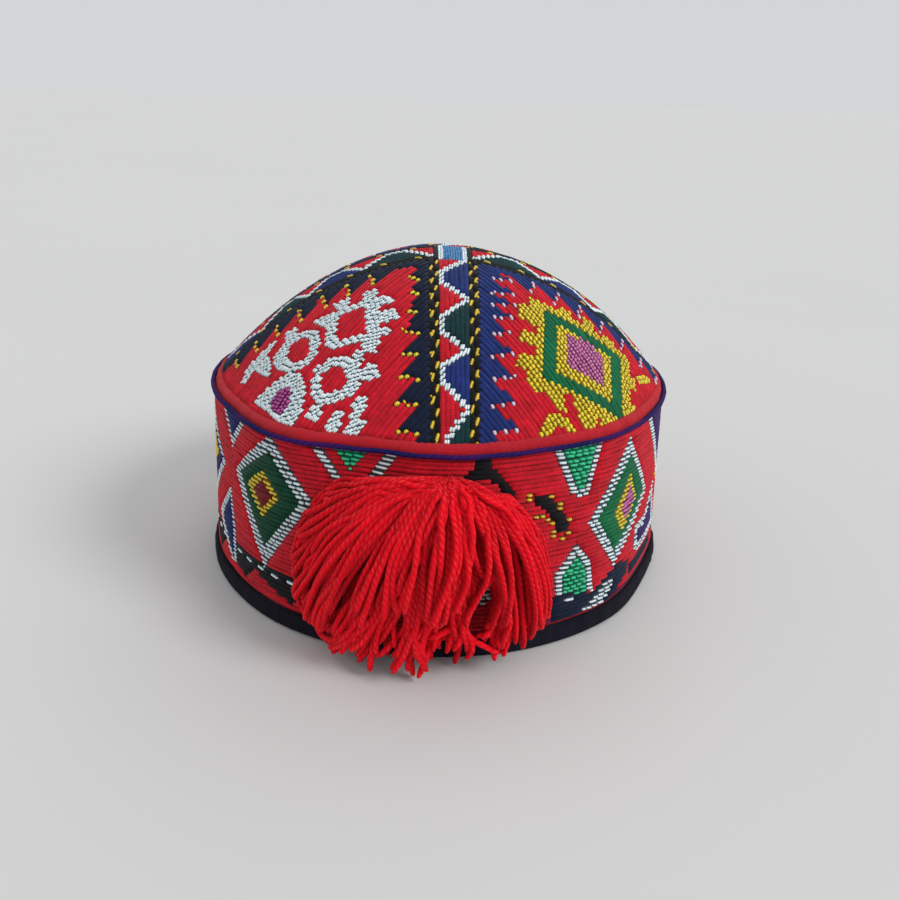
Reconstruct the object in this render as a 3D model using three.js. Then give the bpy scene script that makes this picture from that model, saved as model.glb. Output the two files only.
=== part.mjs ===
// A tubeteika skullcap: a padded, ribbed and embroidered cap with a domed crown,
// an upright band, a cord in the seam between them, a dark binding round the
// bottom edge, and a tassel of red yarn that hangs over the front of the band.
// Millimetres, +Z up, the front of the cap towards -Y. The origin is on the
// cap's axis in the plane that the bottom edge rests on.

import * as THREE from 'three';

// Driving dimensions
const SEAM_RADIUS = 91;
const SEAM_HEIGHT = 76;
const BAND_FOOT_RADIUS = 94.2;
const CROWN_RISE = 52;
const CROWN_FULLNESS = 1.92;
const WALL = 3;
const GAP = 0.3;

// Seam cord, and the shoulders that the crown and the band leave for it
const CORD_RADIUS = 1.15;
const CORD_CENTRE_RADIUS = SEAM_RADIUS + 0.6;
const CORD_CENTRE_HEIGHT = SEAM_HEIGHT + 0.1;
const SHOULDER_RADIUS = SEAM_RADIUS - 0.9;
const SHOULDER_DROP = 2;

// Binding folded round the bottom edge of the band
const BINDING_HEIGHT = 7.4;
const BINDING_CLOTH = 1.2;
const BINDING_ROUND = 0.8;

// Tassel
const TASSEL_TOP = 69.5;
const TASSEL_FOOT = 1;
const TASSEL_GAP = 0.6;
const TASSEL_CENTRE_ARC = -2;
const TASSEL_FLATNESS = 0.8;

// Mesh fineness
const SIDES = 72;
const CROWN_STEPS = 9;
const CORD_SIDES = 8;
const TASSEL_SIDES = 28;
const TASSEL_STEPS = 12;

// Soft swells and dents of the worn cloth. Each row is centred on an angle from
// the front, in degrees and positive towards +X, and fades out over its reach.
// seam, foot and crown say how far it pushes the seam, the bottom edge and the
// middle of the crown's slope outwards, in mm.
const SWELLS = [
  { angle: -90, reach: 46, seam: 0.9, foot: 1.3, crown: 0.8 },
  { angle: -38, reach: 22, seam: 2.8, foot: 0.4, crown: 0.6 },
  { angle: -15, reach: 20, seam: -1.8, foot: 0.3, crown: -0.4 },
  { angle: 22, reach: 20, seam: -0.9, foot: 0.2, crown: 0.0 },
  { angle: 44, reach: 22, seam: 1.0, foot: 0.4, crown: 0.8 },
  { angle: 66, reach: 22, seam: 0.2, foot: -1.6, crown: 1.2 },
  { angle: 92, reach: 40, seam: 0.8, foot: 0.9, crown: 2.6 },
  { angle: 136, reach: 24, seam: 1.0, foot: 0.5, crown: 0.5 },
  { angle: -138, reach: 24, seam: 1.2, foot: 0.4, crown: 0.4 },
];

// Outer form of the tassel, from where it is gathered down to its tips. left and
// right are arc lengths round the band from the tassel's centre, and depth is how
// far the yarn stands out from the band.
const TASSEL_SECTIONS = [
  { height: 69.5, left: 0, right: 0, depth: 0 },
  { height: 67.5, left: 13, right: 10, depth: 7 },
  { height: 63, left: 27, right: 20, depth: 13 },
  { height: 56, left: 37, right: 29, depth: 19 },
  { height: 47, left: 43, right: 36, depth: 24 },
  { height: 36, left: 46, right: 41, depth: 26 },
  { height: 25, left: 46, right: 44, depth: 25 },
  { height: 15, left: 42, right: 45, depth: 20 },
  { height: 8, left: 35, right: 41, depth: 15 },
  { height: 3, left: 24, right: 31, depth: 9 },
  { height: 1, left: 0, right: 0, depth: 0 },
];

const cloth = (color, roughness = 0.9) =>
  new THREE.MeshStandardMaterial({ color, roughness, metalness: 0 });

const MATERIALS = {
  crown: cloth(0xb8242f),
  band: cloth(0xb11f2c),
  seamCord: cloth(0x35235f, 0.75),
  binding: cloth(0x14141c, 0.95),
  tassel: cloth(0xd5121b, 0.95),
};

// 1 at the middle of a swell, fading smoothly to 0 at its reach
function fade(degrees, reach) {
  const away = Math.abs(THREE.MathUtils.euclideanModulo(degrees + 180, 360) - 180);
  return away < reach ? Math.cos((away / reach) * (Math.PI / 2)) ** 2 : 0;
}

// How far the swells push a point that lies at this angle, radius and height
function swellAt(degrees, radius, height) {
  const push = { outwards: 0, upwards: 0 };
  const lift = THREE.MathUtils.clamp(height / SEAM_HEIGHT, 0, 1);
  const spread = Math.min(radius / SEAM_RADIUS, 1);
  const onCrown = height > SEAM_HEIGHT + GAP / 2 ? 4 * spread ** 2 * (1 - spread ** 2) : 0;
  for (const { angle, reach, seam, foot, crown } of SWELLS) {
    const weight = fade(degrees - angle, reach);
    const wall = THREE.MathUtils.lerp(foot, seam, lift) * spread ** 3;
    push.outwards += weight * (wall + crown * onCrown * spread);
    push.upwards += weight * crown * onCrown * (1 - spread * spread);
  }
  return push;
}

// Pushes every vertex of a turned body out or in by the swells
function pressIntoShape(geometry) {
  const places = geometry.getAttribute('position');
  const point = new THREE.Vector3();
  for (let i = 0; i < places.count; i += 1) {
    point.fromBufferAttribute(places, i);
    const radius = Math.hypot(point.x, point.y);
    const degrees = THREE.MathUtils.radToDeg(Math.atan2(point.x, -point.y));
    const { outwards, upwards } = swellAt(degrees, radius, point.z);
    const stretch = radius > 0 ? (radius + outwards) / radius : 1;
    places.setXYZ(i, point.x * stretch, point.y * stretch, point.z + upwards);
  }
  geometry.computeVertexNormals();
  return geometry;
}

// Turns a profile of radius and height pairs about the cap's axis
function turned(profile) {
  const points = profile.map(([radius, height]) => new THREE.Vector2(radius, height));
  return pressIntoShape(new THREE.LatheGeometry(points, SIDES).rotateX(Math.PI / 2));
}

function crownHeight(radius) {
  return SEAM_HEIGHT + CROWN_RISE * (1 - (radius / SEAM_RADIUS) ** CROWN_FULLNESS);
}

function bandRadius(height) {
  return THREE.MathUtils.lerp(BAND_FOOT_RADIUS, SEAM_RADIUS, height / SEAM_HEIGHT);
}

// The domed crown: a padded wall of even thickness, open below
function makeCrown() {
  const outside = [];
  const inside = [];
  for (let step = 0; step <= CROWN_STEPS; step += 1) {
    const share = Math.sin((step / CROWN_STEPS) * (Math.PI / 2));
    const radius = SHOULDER_RADIUS * share;
    const slope = Math.atan(
      (CROWN_RISE * CROWN_FULLNESS / SEAM_RADIUS) * (radius / SEAM_RADIUS) ** (CROWN_FULLNESS - 1),
    );
    outside.push([radius, crownHeight(radius)]);
    inside.push([radius - WALL * Math.sin(slope), crownHeight(radius) - WALL * Math.cos(slope)]);
  }
  const edge = SEAM_HEIGHT + GAP;
  inside[0] = [0, crownHeight(0) - WALL];
  inside[CROWN_STEPS] = [SHOULDER_RADIUS - WALL, edge];
  outside.push([SHOULDER_RADIUS - GAP, edge]);
  return turned([...inside, ...outside.reverse()]);
}

// The upright band, its foot inside the fold of the binding
function makeBand() {
  const foot = BINDING_CLOTH + GAP;
  const shoulder = SEAM_HEIGHT - SHOULDER_DROP;
  const levels = [foot, SEAM_HEIGHT / 3, (SEAM_HEIGHT * 2) / 3, shoulder];
  const outside = levels.map((height) => [bandRadius(height), height]);
  const inside = levels.map((height) => [bandRadius(height) - WALL, height]);
  const top = [[SHOULDER_RADIUS, SEAM_HEIGHT], [SHOULDER_RADIUS - WALL + GAP, SEAM_HEIGHT]];
  const loop = [...outside, ...top, ...inside.reverse()];
  return turned([...loop, loop[0]]);
}

// The cord laid in the seam between crown and band
function makeSeamCord() {
  const section = [];
  for (let side = 0; side <= CORD_SIDES; side += 1) {
    const turn = (side / CORD_SIDES) * Math.PI * 2;
    section.push([
      CORD_CENTRE_RADIUS + CORD_RADIUS * Math.cos(turn),
      CORD_CENTRE_HEIGHT + CORD_RADIUS * Math.sin(turn),
    ]);
  }
  return turned(section);
}

// The binding: a fold of cloth that takes the foot of the band between its sides
function makeBinding() {
  const outer = (height) => bandRadius(height) + GAP + BINDING_CLOTH;
  const inner = (height) => bandRadius(height) - WALL - GAP - BINDING_CLOTH;
  const loop = [
    [outer(0) - BINDING_ROUND, 0],
    [outer(BINDING_ROUND), BINDING_ROUND],
    [outer(BINDING_HEIGHT - BINDING_ROUND), BINDING_HEIGHT - BINDING_ROUND],
    [outer(BINDING_HEIGHT) - BINDING_ROUND, BINDING_HEIGHT],
    [bandRadius(BINDING_HEIGHT) + GAP, BINDING_HEIGHT],
    [bandRadius(BINDING_CLOTH) + GAP, BINDING_CLOTH],
    [bandRadius(BINDING_CLOTH) - WALL - GAP, BINDING_CLOTH],
    [bandRadius(BINDING_HEIGHT) - WALL - GAP, BINDING_HEIGHT],
    [inner(BINDING_HEIGHT), BINDING_HEIGHT],
    [inner(BINDING_ROUND), BINDING_ROUND],
    [inner(0) + BINDING_ROUND, 0],
  ];
  return turned([...loop, loop[0]]);
}

// Reads one column of the tassel's table between its rows
function tasselColumn(column, height) {
  const lower = TASSEL_SECTIONS.findIndex((row) => row.height <= height);
  const [above, below] = [TASSEL_SECTIONS[Math.max(lower - 1, 0)], TASSEL_SECTIONS[lower]];
  if (above === below) {
    return above[column];
  }
  const share = (above.height - height) / (above.height - below.height);
  return THREE.MathUtils.lerp(above[column], below[column], share);
}

// Where the back of the tassel lies: clear of the band, and of the binding below
function tasselBackRadius(degrees, height) {
  const clearOf = height < BINDING_HEIGHT + BINDING_CLOTH
    ? bandRadius(0) + GAP + BINDING_CLOTH
    : bandRadius(height);
  return clearOf + swellAt(degrees, SEAM_RADIUS, Math.min(height, SEAM_HEIGHT)).outwards + TASSEL_GAP;
}

// The outer form of the yarn: a sphere's net, drawn over the table's sections
function makeTassel() {
  const geometry = new THREE.SphereGeometry(1, TASSEL_SIDES, TASSEL_STEPS).rotateX(Math.PI / 2);
  const places = geometry.getAttribute('position');
  const point = new THREE.Vector3();
  for (let i = 0; i < places.count; i += 1) {
    point.fromBufferAttribute(places, i).normalize();
    const height = THREE.MathUtils.lerp(TASSEL_FOOT, TASSEL_TOP, (point.z + 1) / 2);
    const around = Math.atan2(-point.y, point.x);
    const side = Math.cos(around) < 0 ? 'left' : 'right';
    const arc = TASSEL_CENTRE_ARC + tasselColumn(side, height) * Math.cos(around);
    const depth = tasselColumn('depth', height) * Math.max(Math.sin(around), 0) ** TASSEL_FLATNESS;
    const angle = arc / bandRadius(height);
    const radius = tasselBackRadius(THREE.MathUtils.radToDeg(angle), height) + depth;
    places.setXYZ(i, radius * Math.sin(angle), -radius * Math.cos(angle), height);
  }
  geometry.computeVertexNormals();
  return geometry;
}

function piece(name, geometry, material) {
  const mesh = new THREE.Mesh(geometry, material);
  mesh.name = name;
  return mesh;
}

const cap = new THREE.Group();
cap.add(
  piece('crown', makeCrown(), MATERIALS.crown),
  piece('band', makeBand(), MATERIALS.band),
  piece('seam_cord', makeSeamCord(), MATERIALS.seamCord),
  piece('hem_binding', makeBinding(), MATERIALS.binding),
  piece('tassel', makeTassel(), MATERIALS.tassel),
);

export default cap;
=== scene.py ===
"""A tubeteika skullcap: ribbed and embroidered crown and band, twisted seam cord, dark
soft binding and a tassel of red plied yarn. Metres, +Z up, the front towards -Y."""

import math

import bpy
import numpy as np
from mathutils import Matrix, Vector, kdtree


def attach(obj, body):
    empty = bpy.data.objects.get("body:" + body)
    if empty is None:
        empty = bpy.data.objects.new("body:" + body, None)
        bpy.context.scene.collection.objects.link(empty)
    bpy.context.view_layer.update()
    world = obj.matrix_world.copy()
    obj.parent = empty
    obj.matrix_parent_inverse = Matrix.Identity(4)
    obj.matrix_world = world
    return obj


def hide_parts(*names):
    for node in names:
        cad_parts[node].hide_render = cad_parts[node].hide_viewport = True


bl_info = {
    "name": "Tubeteika Skullcap",
    "version": (1, 0, 0),
    "blender": (4, 5, 0),
    "location": "3D View > Sidebar > Skullcap",
    "description": "Builds an embroidered skullcap with a yarn tassel",
    "category": "Add Mesh",
}

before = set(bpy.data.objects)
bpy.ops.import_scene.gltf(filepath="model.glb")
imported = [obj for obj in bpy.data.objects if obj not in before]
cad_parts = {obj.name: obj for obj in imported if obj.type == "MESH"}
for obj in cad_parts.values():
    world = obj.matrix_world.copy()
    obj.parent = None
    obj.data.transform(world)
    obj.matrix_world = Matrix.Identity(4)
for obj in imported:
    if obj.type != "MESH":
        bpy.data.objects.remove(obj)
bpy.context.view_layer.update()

MM = 0.001

# Form of the cap, in mm, as its solids have it
SEAM_RADIUS = 91
SEAM_HEIGHT = 76
BAND_FOOT_RADIUS = 94.2
CROWN_RISE = 52
CROWN_FULLNESS = 1.92
WALL = 3
CORD_CENTRE_RADIUS = 91.6
CORD_CENTRE_HEIGHT = 76.1
CORD_HALF = 0.88
BINDING_HEIGHT = 7.4

# How deep the shells lie under the ribs, and how far above the seam the crown's slope starts
SHELL_DEPTH = 0.75
CROWN_START = 0.15

# Soft swells and dents of the worn cloth: angle from the front and reach in degrees,
# then how far the seam, the foot and the crown's slope are pushed outwards
SWELLS = (
    (-90, 46, 0.9, 1.3, 0.8),
    (-38, 22, 2.8, 0.4, 0.6),
    (-15, 20, -1.8, 0.3, -0.4),
    (22, 20, -0.9, 0.2, 0.0),
    (44, 22, 1.0, 0.4, 0.8),
    (66, 22, 0.2, -1.6, 1.2),
    (92, 40, 0.8, 0.9, 2.6),
    (136, 24, 1.0, 0.5, 0.5),
    (-138, 24, 1.2, 0.4, 0.4),
)

# The crown's map: mm of arc from the top, u to the right and v to the front.
# The embroidery has its own middle and a slight turn on it.
PATTERN_MIDDLE = (4.0, 7.0)
PATTERN_TURN = math.radians(1.5)
EMBROIDERY_EDGE = 103.2
ARM_RIB = 1.9
STRIP_HALF = 3 * ARM_RIB
ARM_HALF = 5 * ARM_RIB
FIELD_EDGE = 14.0

# The band's map: mm of arc at this radius, 0 at the front, and mm of height
BAND_MAP_RADIUS = 93
BAND_TURN = 2 * math.pi * BAND_MAP_RADIUS
BAND_RIBS_FROM = 9.0
BAND_RIBS_TO = 75.2

# Step of the samples along a line on a map, and how far the crown's arms reach
SAMPLE = 0.25
ARM_REACH = 124

# Where the yarn is gathered on the band's map
GATHER = (3.5, 67.2)


def screen(red, green, blue):
    """The scene-linear colour of 0-255 screen values."""
    shares = [value / 255 for value in (red, green, blue)]
    return tuple(
        share / 12.92 if share <= 0.04045 else ((share + 0.055) / 1.055) ** 2.4
        for share in shares
    )


# Threads by name: screen colour, and whether they are metallic
THREADS = {
    "crimson": ((198, 14, 36), False),
    "navy": ((8, 23, 50), False),
    "black": ((9, 10, 16), False),
    "royal": ((24, 43, 106), False),
    "indigo": ((26, 26, 98), False),
    "pine": ((2, 100, 62), False),
    "forest": ((3, 66, 42), False),
    "leaf": ((2, 104, 62), False),
    "teal": ((5, 50, 54), False),
    "violet": ((54, 24, 92), False),
    "plum": ((92, 14, 54), False),
    "maroon": ((112, 20, 24), False),
    "sky": ((52, 140, 200), True),
    "green": ((6, 212, 150), True),
    "gold": ((255, 222, 20), True),
    "bead": ((244, 200, 20), True),
    "silver": ((250, 254, 255), True),
    "magenta": ((206, 66, 166), True),
    "rose": ((222, 120, 178), True),
    "blush": ((240, 214, 232), True),
}
THREAD_NAMES = list(THREADS)

# Screen colour of the thread that lies under each metallic one: a darker tone of the metal, which
# also serves as painted shade in the gaps between its stitches
UNDERLAYS_AND_GAP_SHADE = {
    "sky": (14, 56, 104), "green": (0, 104, 76), "gold": (150, 108, 8), "bead": (44, 34, 12),
    "silver": (62, 76, 84), "magenta": (84, 16, 62), "rose": (118, 40, 84), "blush": (96, 50, 84),
}

# Meander of an arm, from the middle of the crown outwards: across, along
MEANDER = (
    (4.9, 9), (-4.6, 19), (-4.6, 26), (4.9, 35.5), (-4.6, 44.5), (-4.6, 52),
    (4.9, 60), (-4.4, 66), (-4.6, 73), (5.0, 83), (-2.5, 94), (-4.6, 104),
)
BAY_ENDS = (9, 35.5, 60, 83, 104)
MEANDER_HALF = 1.15

# Bright dashes beside an arm's strip: from one to the next, and the length of each
FRONT_DASHES = (9.2, 3.7)
SIDE_DASHES = (13.8, 3.2)
DASHES_FROM = 10

# Half widths across and along of the silver square in the middle and of the blue on it
HUB_SILVER = (6.2, 8.8)
HUB_SKY = (4.6, 9.2)

# Teeth of the dark fields: across and along at each tip, then the roots' places along
TEETH_LEFT = (
    ((16.4, 21.5), (16.6, 30.4), (17.6, 40.4), (19.4, 49.9), (20.7, 59.8), (21.4, 69.8),
     (23, 80), (23, 90.4), (23.4, 101)),
    (13.5, 23, 32, 42, 51.5, 61.5, 71.5, 81.6, 92.2, 103),
)
TEETH_RIGHT = (
    ((22.5, 17.5), (23.6, 26.3), (23.6, 33), (22.4, 39.8), (21, 48), (22.8, 57.2), (23, 67.3),
     (24, 77.3), (25.6, 87.3), (26.4, 97.5)),
    (11.5, 20, 29, 35.5, 42.6, 51, 60.6, 70.6, 80.6, 91, 101.4),
)
TEETH_SIDE = (
    ((22, 30.2), (23.4, 40.4), (24, 50.6), (24.4, 61.4), (24, 72.4), (23.4, 83.4), (22.6, 94)),
    (20.6, 31.8, 42, 52.2, 63, 74, 85, 96),
)
SIDE_TEETH_SHIFT = 1.5

# Bright stitches at each tooth: their places from its tip to its root, and their size
DOT_SHARES = (0.04, 0.46, 0.9)
DOT_RADIUS = 1.15


def box(left, right, low, high):
    """The corners of an upright rectangle on a map."""
    return ((left, low), (right, low), (right, high), (left, high))


# Sector of silver rings: thread and outline, painted in order on the crown's map
RINGS = (
    ("silver", ((-44.4, 40.5), (-41, 38.6), (-27, 38.6), (-23.3, 41), (-23.3, 57), (-26, 59.4),
                (-41, 59.2), (-44.4, 56))),
    ("crimson", ((-39.5, 42.5), (-29, 41.8), (-28.6, 55.6), (-38.5, 56), (-40.2, 52))),
    ("silver", box(-40.8, -35.6, 32.8, 40)),
    ("silver", ((-42.6, 33.4), (-39, 32.6), (-37.5, 37), (-41, 38))),
    ("silver", box(-30, -24.2, 33, 41)),
    ("silver", ((-51.8, 38), (-46, 38.4), (-41, 39), (-41, 46), (-44.6, 46.5), (-47.5, 43.8))),
    ("silver", ((-25, 42), (-22.5, 37.4), (-18.4, 40), (-18.6, 43), (-22, 43.2))),
    ("silver", ((-25, 50), (-21, 46.2), (-18, 45.6), (-15.6, 51), (-19.6, 52.6), (-25, 52.6))),
    ("silver", ((-25, 54.4), (-19, 54.8), (-19.4, 58.8), (-25, 58.4))),
    ("silver", ((-31, 57.5), (-24, 57), (-23, 62), (-25.4, 66), (-30, 64))),
    ("silver", ((-66.5, 42.5), (-60, 40), (-54, 41.6), (-48, 45.6), (-46.4, 53), (-48, 60),
                (-54, 62.4), (-60, 61), (-66, 56), (-69.8, 49))),
    ("crimson", ((-61, 45.8), (-56, 44.8), (-51.6, 48.2), (-51, 55), (-54, 58), (-58, 57),
                 (-61.8, 52))),
    ("silver", box(-64.2, -58.8, 34.8, 41.5)),
    ("silver", ((-47.4, 64.4), (-42, 62.6), (-36, 63.8), (-30.8, 68), (-30.8, 77.4), (-35, 82),
                (-42, 82.6), (-47, 81.4), (-49.6, 76), (-49.6, 69))),
    ("crimson", ((-45.6, 69), (-42, 66.8), (-37.6, 68), (-36, 74), (-38.6, 77.6), (-44, 77.6),
                 (-46, 74))),
    ("silver", ((-32, 73), (-28, 69.4), (-25, 70.6), (-23.2, 76.4), (-28, 77.4), (-32, 76))),
    ("silver", ((-34, 67), (-32.6, 62.4), (-28.8, 63.6), (-29.6, 67.4), (-32, 69))),
    ("silver", ((-50.4, 80), (-46, 81), (-45.4, 85.4), (-47.4, 88.6), (-52, 84.6))),
    ("silver", ((-45, 91), (-40.6, 85.2), (-36.8, 87.4), (-40.4, 95.2), (-43.4, 94))),
    ("silver", ((-36.6, 90), (-31.6, 82.4), (-27.4, 84), (-31, 91), (-34.4, 91.4))),
    ("silver", ((-38.4, 96), (-33.4, 90.8), (-29, 92.6), (-30.6, 97), (-34.6, 98.6))),
    ("silver", ((-77.4, 65), (-68, 61.8), (-60, 60.8), (-54, 64), (-51.6, 72), (-53, 81),
                (-57, 86.2), (-62.4, 82.4), (-70, 73))),
    ("magenta", ((-67.2, 69.6), (-62, 66.8), (-58, 69), (-58.4, 75), (-62, 78.8), (-66.2, 75))),
    ("silver", ((-87, 46.6), (-83.6, 50.4), (-76, 43.6), (-69.6, 39.6), (-68.6, 34.8), (-74, 36),
                (-80.6, 39))),
    ("silver", ((-80.6, 44), (-75, 41.6), (-71.8, 43), (-70, 50), (-69.8, 57.4), (-74.4, 53))),
)

# Sector of the green and gold rhombus
RHOMBUS = (
    ("gold", box(34, 81, 31.4, 75)),
    ("gold", box(47, 52.4, 28, 33)),
    ("gold", box(57.6, 62.8, 26, 33)),
    ("gold", box(67, 73, 28.4, 33)),
    ("gold", box(79, 84.4, 41.6, 49.4)),
    ("gold", box(79, 84, 58, 66)),
    ("gold", ((40, 74), (49, 74), (52, 82.8), (46.6, 80))),
    ("gold", ((53, 74), (65, 74), (64, 80), (62, 85), (56.4, 81))),
    ("gold", ((64, 74), (73, 73), (71, 79.8), (66.4, 80))),
    ("crimson", box(34, 37.2, 47.4, 51.2)),
    ("crimson", box(34, 37, 57.4, 62.4)),
    ("crimson", box(49.6, 53.6, 72.6, 76)),
    ("gold", box(29.8, 35, 37, 46)),
    ("gold", ((30, 56.8), (31.6, 51.2), (36, 52), (35.4, 57.6))),
    ("gold", ((29.6, 69), (30.4, 62.6), (37.6, 62.4), (36.4, 69.8))),
    ("gold", ((36.4, 77.2), (36.6, 70.6), (41, 71), (40.6, 77.4))),
    ("pine", box(40.2, 76.2, 35.4, 70.6)),
    ("gold", box(45.4, 70.8, 40.8, 65.6)),
    ("rose", box(50, 66.8, 43.2, 60.2)),
    ("rose", box(55.6, 63, 41, 44)),
    ("gold", ((40, 94), (43, 85), (47, 82.6), (52, 83.2), (56.4, 86.8), (52, 88.4), (48, 87),
              (45.4, 91.6), (44, 94.6))),
    ("gold", ((83.6, 40), (89.6, 31.4), (94.4, 28.8), (93.6, 33), (87.4, 41))),
)

# Motifs of the band, painted in order on the band's map. The back repeats the front.
GREEN_DIAMOND = (
    ("silver", ((-1, 74.6), (21, 51), (-1, 21.6), (-21, 51))),
    ("forest", ((0, 67.4), (15.8, 49.4), (-1, 30.6), (-16, 51))),
    ("gold", ((0, 59), (8, 51), (-1, 40), (-9, 51))),
    ("rose", ((0, 54.6), (4, 50.6), (-0.6, 44.8), (-4.4, 51))),
)
LEFT_DIAMOND = (
    ("silver", ((-62, 76), (-44.6, 54), (-69, 20.4), (-89, 54))),
    ("forest", ((-63, 69), (-50, 52.6), (-68.4, 30), (-84, 54.6))),
    ("gold", ((-67, 61), (-59, 52), (-69, 41.4), (-78.6, 52))),
    ("maroon", ((-67.4, 57), (-62.6, 51.4), (-68.8, 45), (-74, 51.6))),
)
RIGHT_DIAMOND = (
    ("silver", ((79.5, 72.6), (101.6, 44), (74, 21.6), (58, 44.6))),
    ("leaf", ((81, 65.4), (97.6, 45), (74, 29), (63, 45))),
    ("gold", ((82, 57.6), (89, 45), (78.4, 34.6), (72.4, 44))),
    ("rose", ((82.4, 52.6), (87.4, 45.2), (81, 38.6), (76.8, 44.6))),
)
BAR = ((19, 60), (24.4, 59.4), (28, 55.6), (31.2, 51.4), (34.4, 47), (32.4, 42.8),
       (29.6, 43.6), (28, 46.6), (26, 50.8), (23.4, 54), (19.6, 56.4))
BAR_BEADS = (
    (17.4, 59.2), (26.1, 58.2), (29.8, 54), (34, 48.4), (33.8, 43.6), (31.4, 40.6),
    (26.8, 47.4), (25, 49.6), (22.8, 51.6), (20.4, 51), (27.6, 43.8),
)
DARK_DIAMOND = (
    ("black", ((-2.6, 75.6), (2.6, 75.6), (3, 72), (6, 69.3), (12, 61.4), (11.6, 59.8), (8, 60),
               (5.6, 65), (2.8, 66.7), (1.4, 68), (-1.4, 68), (-2.8, 66.7), (-5.6, 65),
               (-8, 60), (-11.6, 59.8), (-12, 61.4), (-6, 69.3), (-3, 72))),
    ("black", BAR),
    ("black", tuple((-x, y) for x, y in BAR)),
    *(("bead", box(x - 1.2, x + 1.2, y - 1, y + 1)) for x, y in BAR_BEADS),
    *(("bead", box(-x - 1.2, 1.2 - x, y - 1, y + 1)) for x, y in BAR_BEADS),
    ("gold", ((0, 58), (20, 42), (0, 20), (-20, 42))),
    ("black", ((0, 54.6), (16.4, 42), (0, 23.8), (-16.4, 42))),
    ("silver", ((0, 49.4), (9.6, 42), (6, 22), (0, 20), (-6, 22), (-9.6, 42))),
    ("rose", ((0, 46), (5.4, 41.6), (2, 27), (-2, 27), (-5.4, 41.6))),
    ("silver", box(-12, -7, 13, 17.6)),
)
FAR_LEFT_DIAMOND = (
    ("silver", ((-131, 72), (-100.6, 51), (-127, 25.6), (-158.6, 48))),
    ("violet", ((-131, 67.6), (-105, 51), (-127, 30.6), (-153, 48))),
    ("gold", ((-128, 58.6), (-112, 51), (-126, 43), (-142, 48))),
    ("maroon", ((-128, 55), (-118.6, 51.2), (-126.6, 46.4), (-135, 48.4))),
)
SILVER_TOP = (
    ("silver", ((-11, 75.6), (10.8, 75.6), (4.6, 55.2), (-2.6, 57))),
    ("green", ((-7.2, 75.6), (7.6, 75.6), (3.2, 59), (-0.4, 60))),
)
SILVER_FOOT = (
    ("silver", ((0.4, 38), (7.8, 29), (10, 15.6), (-8, 18), (-8.8, 27.4))),
    ("green", ((0.9, 33), (5.2, 27), (6.8, 15.8), (-4.8, 17.6), (-5, 26.4))),
)
LEFT_TRIANGLES = (
    ("silver", ((-46, 75.6), (-13.4, 75.6), (-29.6, 53))),
    ("crimson", ((-41.6, 75.6), (-18.4, 75.6), (-29.8, 58.6))),
    ("green", ((-37.6, 75.6), (-24.4, 75.6), (-31, 67.4))),
)
FAR_LEFT_TRIANGLES = (
    ("silver", ((-102, 75.6), (-78, 75.6), (-92, 61))),
    ("indigo", ((-99, 75.6), (-81.6, 75.6), (-91.8, 65))),
    ("silver", ((-95.2, 43.8), (-91.6, 26), (-91.6, 11), (-96, 11), (-102, 17), (-108.6, 23.6),
                (-111, 28))),
    ("indigo", ((-96, 39.4), (-94, 27), (-94, 13), (-100.2, 19.6), (-107, 27))),
)
FAR_RIGHT_TRIANGLES = (
    ("silver", ((94.6, 75.6), (156, 75.6), (126.6, 37))),
    ("violet", ((99.4, 75.6), (150, 75.6), (126.6, 42.6))),
    ("silver", ((114.4, 42), (124.6, 17.4), (92, 19.4), (91, 32), (103, 31))),
    ("violet", ((114, 36), (119.8, 22), (96, 22.6), (95, 28), (104, 27.4))),
)
RIGHT_FOOT = (
    ("navy", ((43.6, 17.6), (47, 19), (62.3, 15.2), (64.4, 12), (58, 8), (43.6, 8))),
    ("navy", ((61, 14), (69.8, 18.8), (77.4, 21.8), (86.6, 19.6), (85.6, 14), (78.8, 10.6),
              (70, 8))),
    ("silver", ((54.6, 8), (60, 9.8), (64.7, 13.4), (70, 17.2), (75, 17.4), (74.4, 13),
                (70.6, 9.6), (68, 8))),
    ("silver", box(49, 53.8, 14.3, 16.2)),
    ("navy", box(88, 120, 11, 16)),
)

# Motifs in the order they are painted, and the arcs at which each of them stands
BAND_MOTIFS = (
    (DARK_DIAMOND, (15.6, 153, 299, 299 - BAND_TURN)),
    (GREEN_DIAMOND, (226, -213)),
    (SILVER_TOP, (-176, -249, 262, 190, 52.6)),
    (SILVER_FOOT, (-176, -249, 262, 190, 53, -31)),
    (RIGHT_FOOT, (0,)),
    (LEFT_DIAMOND, (0,)),
    (RIGHT_DIAMOND, (0,)),
    (FAR_LEFT_DIAMOND, (0,)),
    (LEFT_TRIANGLES, (0,)),
    (FAR_LEFT_TRIANGLES, (0,)),
    (FAR_RIGHT_TRIANGLES, (0,)),
)

# Border of the band beyond these two arcs: a black saw under a row of silver dashes.
# Each tooth of the saw rises over its first part and falls over the rest.
BORDER_LEFT = -50
BORDER_RIGHT = 124
BORDER_TOP = 21.8
SAW_LENGTH = 28
SAW_SHIFT = 84
SAW_RISE = 8
DASH_ROWS = (18.6, 20.4)
PLUM_TOP = 9.6

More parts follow.
